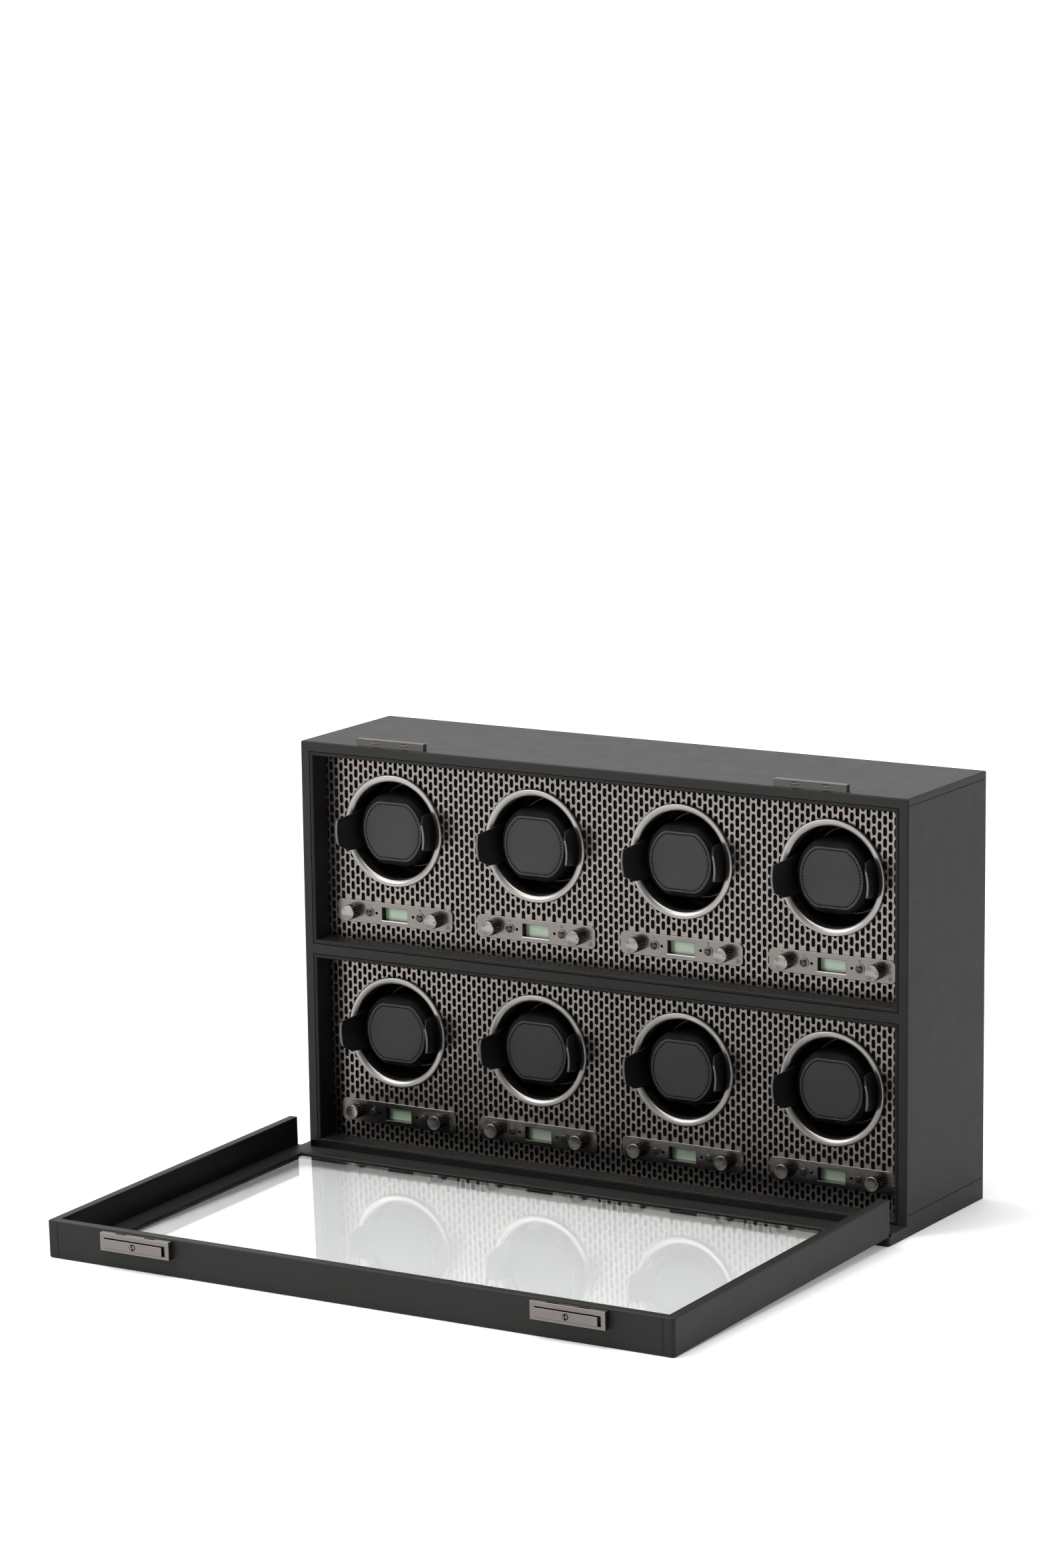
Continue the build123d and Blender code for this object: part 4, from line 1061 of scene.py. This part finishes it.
SIDE_SEAM_LOW, SIDE_SEAM_HIGH, DOOR_SEAM_X = 21.0 * MM, 416.5 * MM, 328.5 * MM
for side, sx in (("left", -1), ("right", 1)):
    for level, z in (("low", SIDE_SEAM_LOW), ("high", SIDE_SEAM_HIGH)):
        start, end = (sx * HALF_W, -79.5 * MM, z), (sx * HALF_W, 79.5 * MM, z)
        seam(f"side_seam_{level}_{side}", start, end, (sx, 0, 0), "case")
    foot = on_door(sx * DOOR_SEAM_X, DOOR_LENGTH, 3.5 * MM)
    head = on_door(sx * DOOR_SEAM_X, DOOR_LENGTH, 35.0 * MM)
    seam(f"door_seam_{side}", foot, head, ALONG, "door")

# in millimetres: a latch from the door's middle, its keyway and a catch's tooth from the latch's middle
LATCH_X, KEYWAY_SHIFT, TOOTH_X = 235.0, -1.55, 16.4
BAR_FACE_Y, HOUSING_FACE_Y = -536.44 * MM, -535.79 * MM
KEYWAY_Z, GAP_SHADE_Z, TOOTH_TOP = 25.2 * MM, 20.3 * MM, 428.9 * MM
for side, x in (("left", -LATCH_X), ("right", LATCH_X)):
    # the keyhole drawn as flat dark arcs on the bar: painted shade inside the hole
    cx, cz = (x + KEYWAY_SHIFT) * MM, KEYWAY_Z
    v, f = merge([
        ring_arc(cx, cz, 2.6 * MM, 1.1 * MM, -110, 80, BAR_FACE_Y),
        ring_arc(cx - 0.3 * MM, cz + 1.2 * MM, 1.0 * MM, 1.5 * MM, 60, 250, BAR_FACE_Y),
        ring_arc(cx - 0.3 * MM, cz - 1.9 * MM, 0.7 * MM, 1.1 * MM, 100, 300, BAR_FACE_Y),
    ])
    piece(f"latch_keyway_painted_shade_{side}", v, f, f"latch_bar_body_{side}", DARK_PRINT_AND_PAINTED_SHADE, smooth=False)
    # a dark line along the gap between bar and housing: painted shadow in the gap
    left, right = (x - 34.3) * MM, (x + 31.0) * MM
    v, f = bar(left, GAP_SHADE_Z, right, GAP_SHADE_Z, 0.34 * MM, HOUSING_FACE_Y, 0.1 * MM)
    piece(f"latch_gap_painted_shadow_{side}", v, f, "door", DARK_PRINT_AND_PAINTED_SHADE, smooth=False)
    # bright chevrons at each tooth: painted highlights on the lit lower faces of the catches' notches
    parts = []
    for tooth in (-TOOTH_X, TOOTH_X):
        for flip in (-1, 1):
            root, tip = Vector((x + tooth + flip * 4.9, -80.5)) * MM, Vector((x + tooth, -86.3)) * MM
            edge_in = Vector((-flip * 0.9, 0.0)) * MM
            flat = (root, tip, tip + Vector((0, 1.3)) * MM, root + edge_in)
            verts = [(q.x, q.y, z) for z in (TOOTH_TOP - 0.1 * MM, TOOTH_TOP + 0.12 * MM) for q in flat]
            parts.append((verts, BLOCK_FACES))
    v, f = merge(parts)
    piece(f"strike_chevron_highlights_{side}", v, f, "case", PAINTED_HIGHLIGHT_METAL, smooth=False)

# ---- stage, lights and camera ---------------------------------------------------------------------
bpy.ops.mesh.primitive_plane_add(size=60)
floor = bpy.context.object
floor.name = "floor"
glowing = dict(Emission_Color=(1, 1, 1, 1), Emission_Strength=0.2)
floor_shader = Shader("floor_paper", (0.93, 0.93, 0.93), 0.75, **glowing)
# the glow rises with the distance from the object, so the floor stays white out to the horizon
place = floor_shader.node("ShaderNodeTexCoord")
reach = floor_shader.node("ShaderNodeVectorMath", operation="LENGTH")
glow = floor_shader.node("ShaderNodeMapRange")
for socket, value in (("From Min", 1.2), ("From Max", 4.5), ("To Min", 0.2), ("To Max", 1.0)):
    glow.inputs[socket].default_value = value
floor_shader.link(place.outputs["Object"], reach.inputs[0])
floor_shader.link(reach.outputs["Value"], glow.inputs["Value"])
floor_shader.link(glow.outputs["Result"], floor_shader.bsdf.inputs["Emission Strength"])
floor.data.materials.append(floor_shader.mat)


TOWARD_BACKDROP = (-0.42, 0.9, 0.1)


def studio_world(front, back):
    """A pale backdrop, a dim room in front of the object, and plain white where the camera looks."""
    world = bpy.data.worlds.new("studio")
    bpy.context.scene.world = world
    world.use_nodes = True
    nodes, links = world.node_tree.nodes, world.node_tree.links
    place = nodes.new("ShaderNodeTexCoord")
    toward = nodes.new("ShaderNodeVectorMath")
    toward.operation = "DOT_PRODUCT"
    toward.inputs[1].default_value = TOWARD_BACKDROP
    fade = nodes.new("ShaderNodeMapRange")
    fade.interpolation_type = "SMOOTHSTEP"
    fade.inputs["From Min"].default_value = -0.45
    fade.inputs["From Max"].default_value = 0.55
    fade.inputs["To Min"].default_value = front
    fade.inputs["To Max"].default_value = back
    seen = nodes.new("ShaderNodeLightPath")
    brightest = nodes.new("ShaderNodeMath")
    brightest.operation = "MAXIMUM"
    links.new(place.outputs["Generated"], toward.inputs[0])
    links.new(toward.outputs["Value"], fade.inputs["Value"])
    links.new(fade.outputs["Result"], brightest.inputs[0])
    links.new(seen.outputs["Is Camera Ray"], brightest.inputs[1])
    links.new(brightest.outputs["Value"], nodes["Background"].inputs["Strength"])
    nodes["Background"].inputs["Color"].default_value = (1.0, 1.0, 1.0, 1.0)


studio_world(0.10, 1.25)


def area_light(name, location, target, size, power, color=(1, 1, 1)):
    data = bpy.data.lights.new(name, "AREA")
    data.shape = "RECTANGLE"
    data.size, data.size_y = size
    data.energy = power
    data.color = color
    obj = bpy.data.objects.new(name, data)
    bpy.context.scene.collection.objects.link(obj)
    obj.location = location
    direction = Vector(target) - Vector(location)
    obj.rotation_euler = direction.to_track_quat("-Z", "Y").to_euler()
    return obj


area_light("top_softbox", (-0.3, -0.6, 2.2), (0.0, -0.1, 0.2), (2.2, 1.6), 52)
area_light("front_softbox", (-1.9, -2.6, 1.9), (0.0, 0.0, 0.25), (1.4, 1.4), 60)

# the camera as solved from the box's corners in the photograph
CAMERA_AT = Vector((2.4822, -4.2821, 1.3235))
CAMERA_YAW, CAMERA_PITCH, CAMERA_ROLL = math.radians(31.432), math.radians(-13.437), math.radians(-0.776)
FOCAL_PIXELS = 7704.8
CENTRE_ROW = 1557  # row of the solved optical centre, below the picture's middle
cam_data = bpy.data.cameras.new("camera")
cam_data.sensor_width = 36.0
cam_data.lens = FOCAL_PIXELS * cam_data.sensor_width / IMAGE_LONG
cam_data.shift_y = (CENTRE_ROW - IMAGE_LONG / 2) / IMAGE_LONG
cam_data.clip_end = 200.0
camera = bpy.data.objects.new("camera", cam_data)
bpy.context.scene.collection.objects.link(camera)
right = Vector((math.cos(CAMERA_YAW), math.sin(CAMERA_YAW), 0.0))
ahead = Vector((
    -math.sin(CAMERA_YAW) * math.cos(CAMERA_PITCH),
    math.cos(CAMERA_YAW) * math.cos(CAMERA_PITCH),
    math.sin(CAMERA_PITCH),
))
up = right.cross(ahead)
right2 = right * math.cos(CAMERA_ROLL) + up * math.sin(CAMERA_ROLL)
up2 = up * math.cos(CAMERA_ROLL) - right * math.sin(CAMERA_ROLL)
camera.matrix_world = Matrix.Translation(CAMERA_AT) @ Matrix((right2, up2, -ahead)).transposed().to_4x4()
bpy.context.scene.camera = camera
bpy.context.scene.view_settings.view_transform = "Standard"
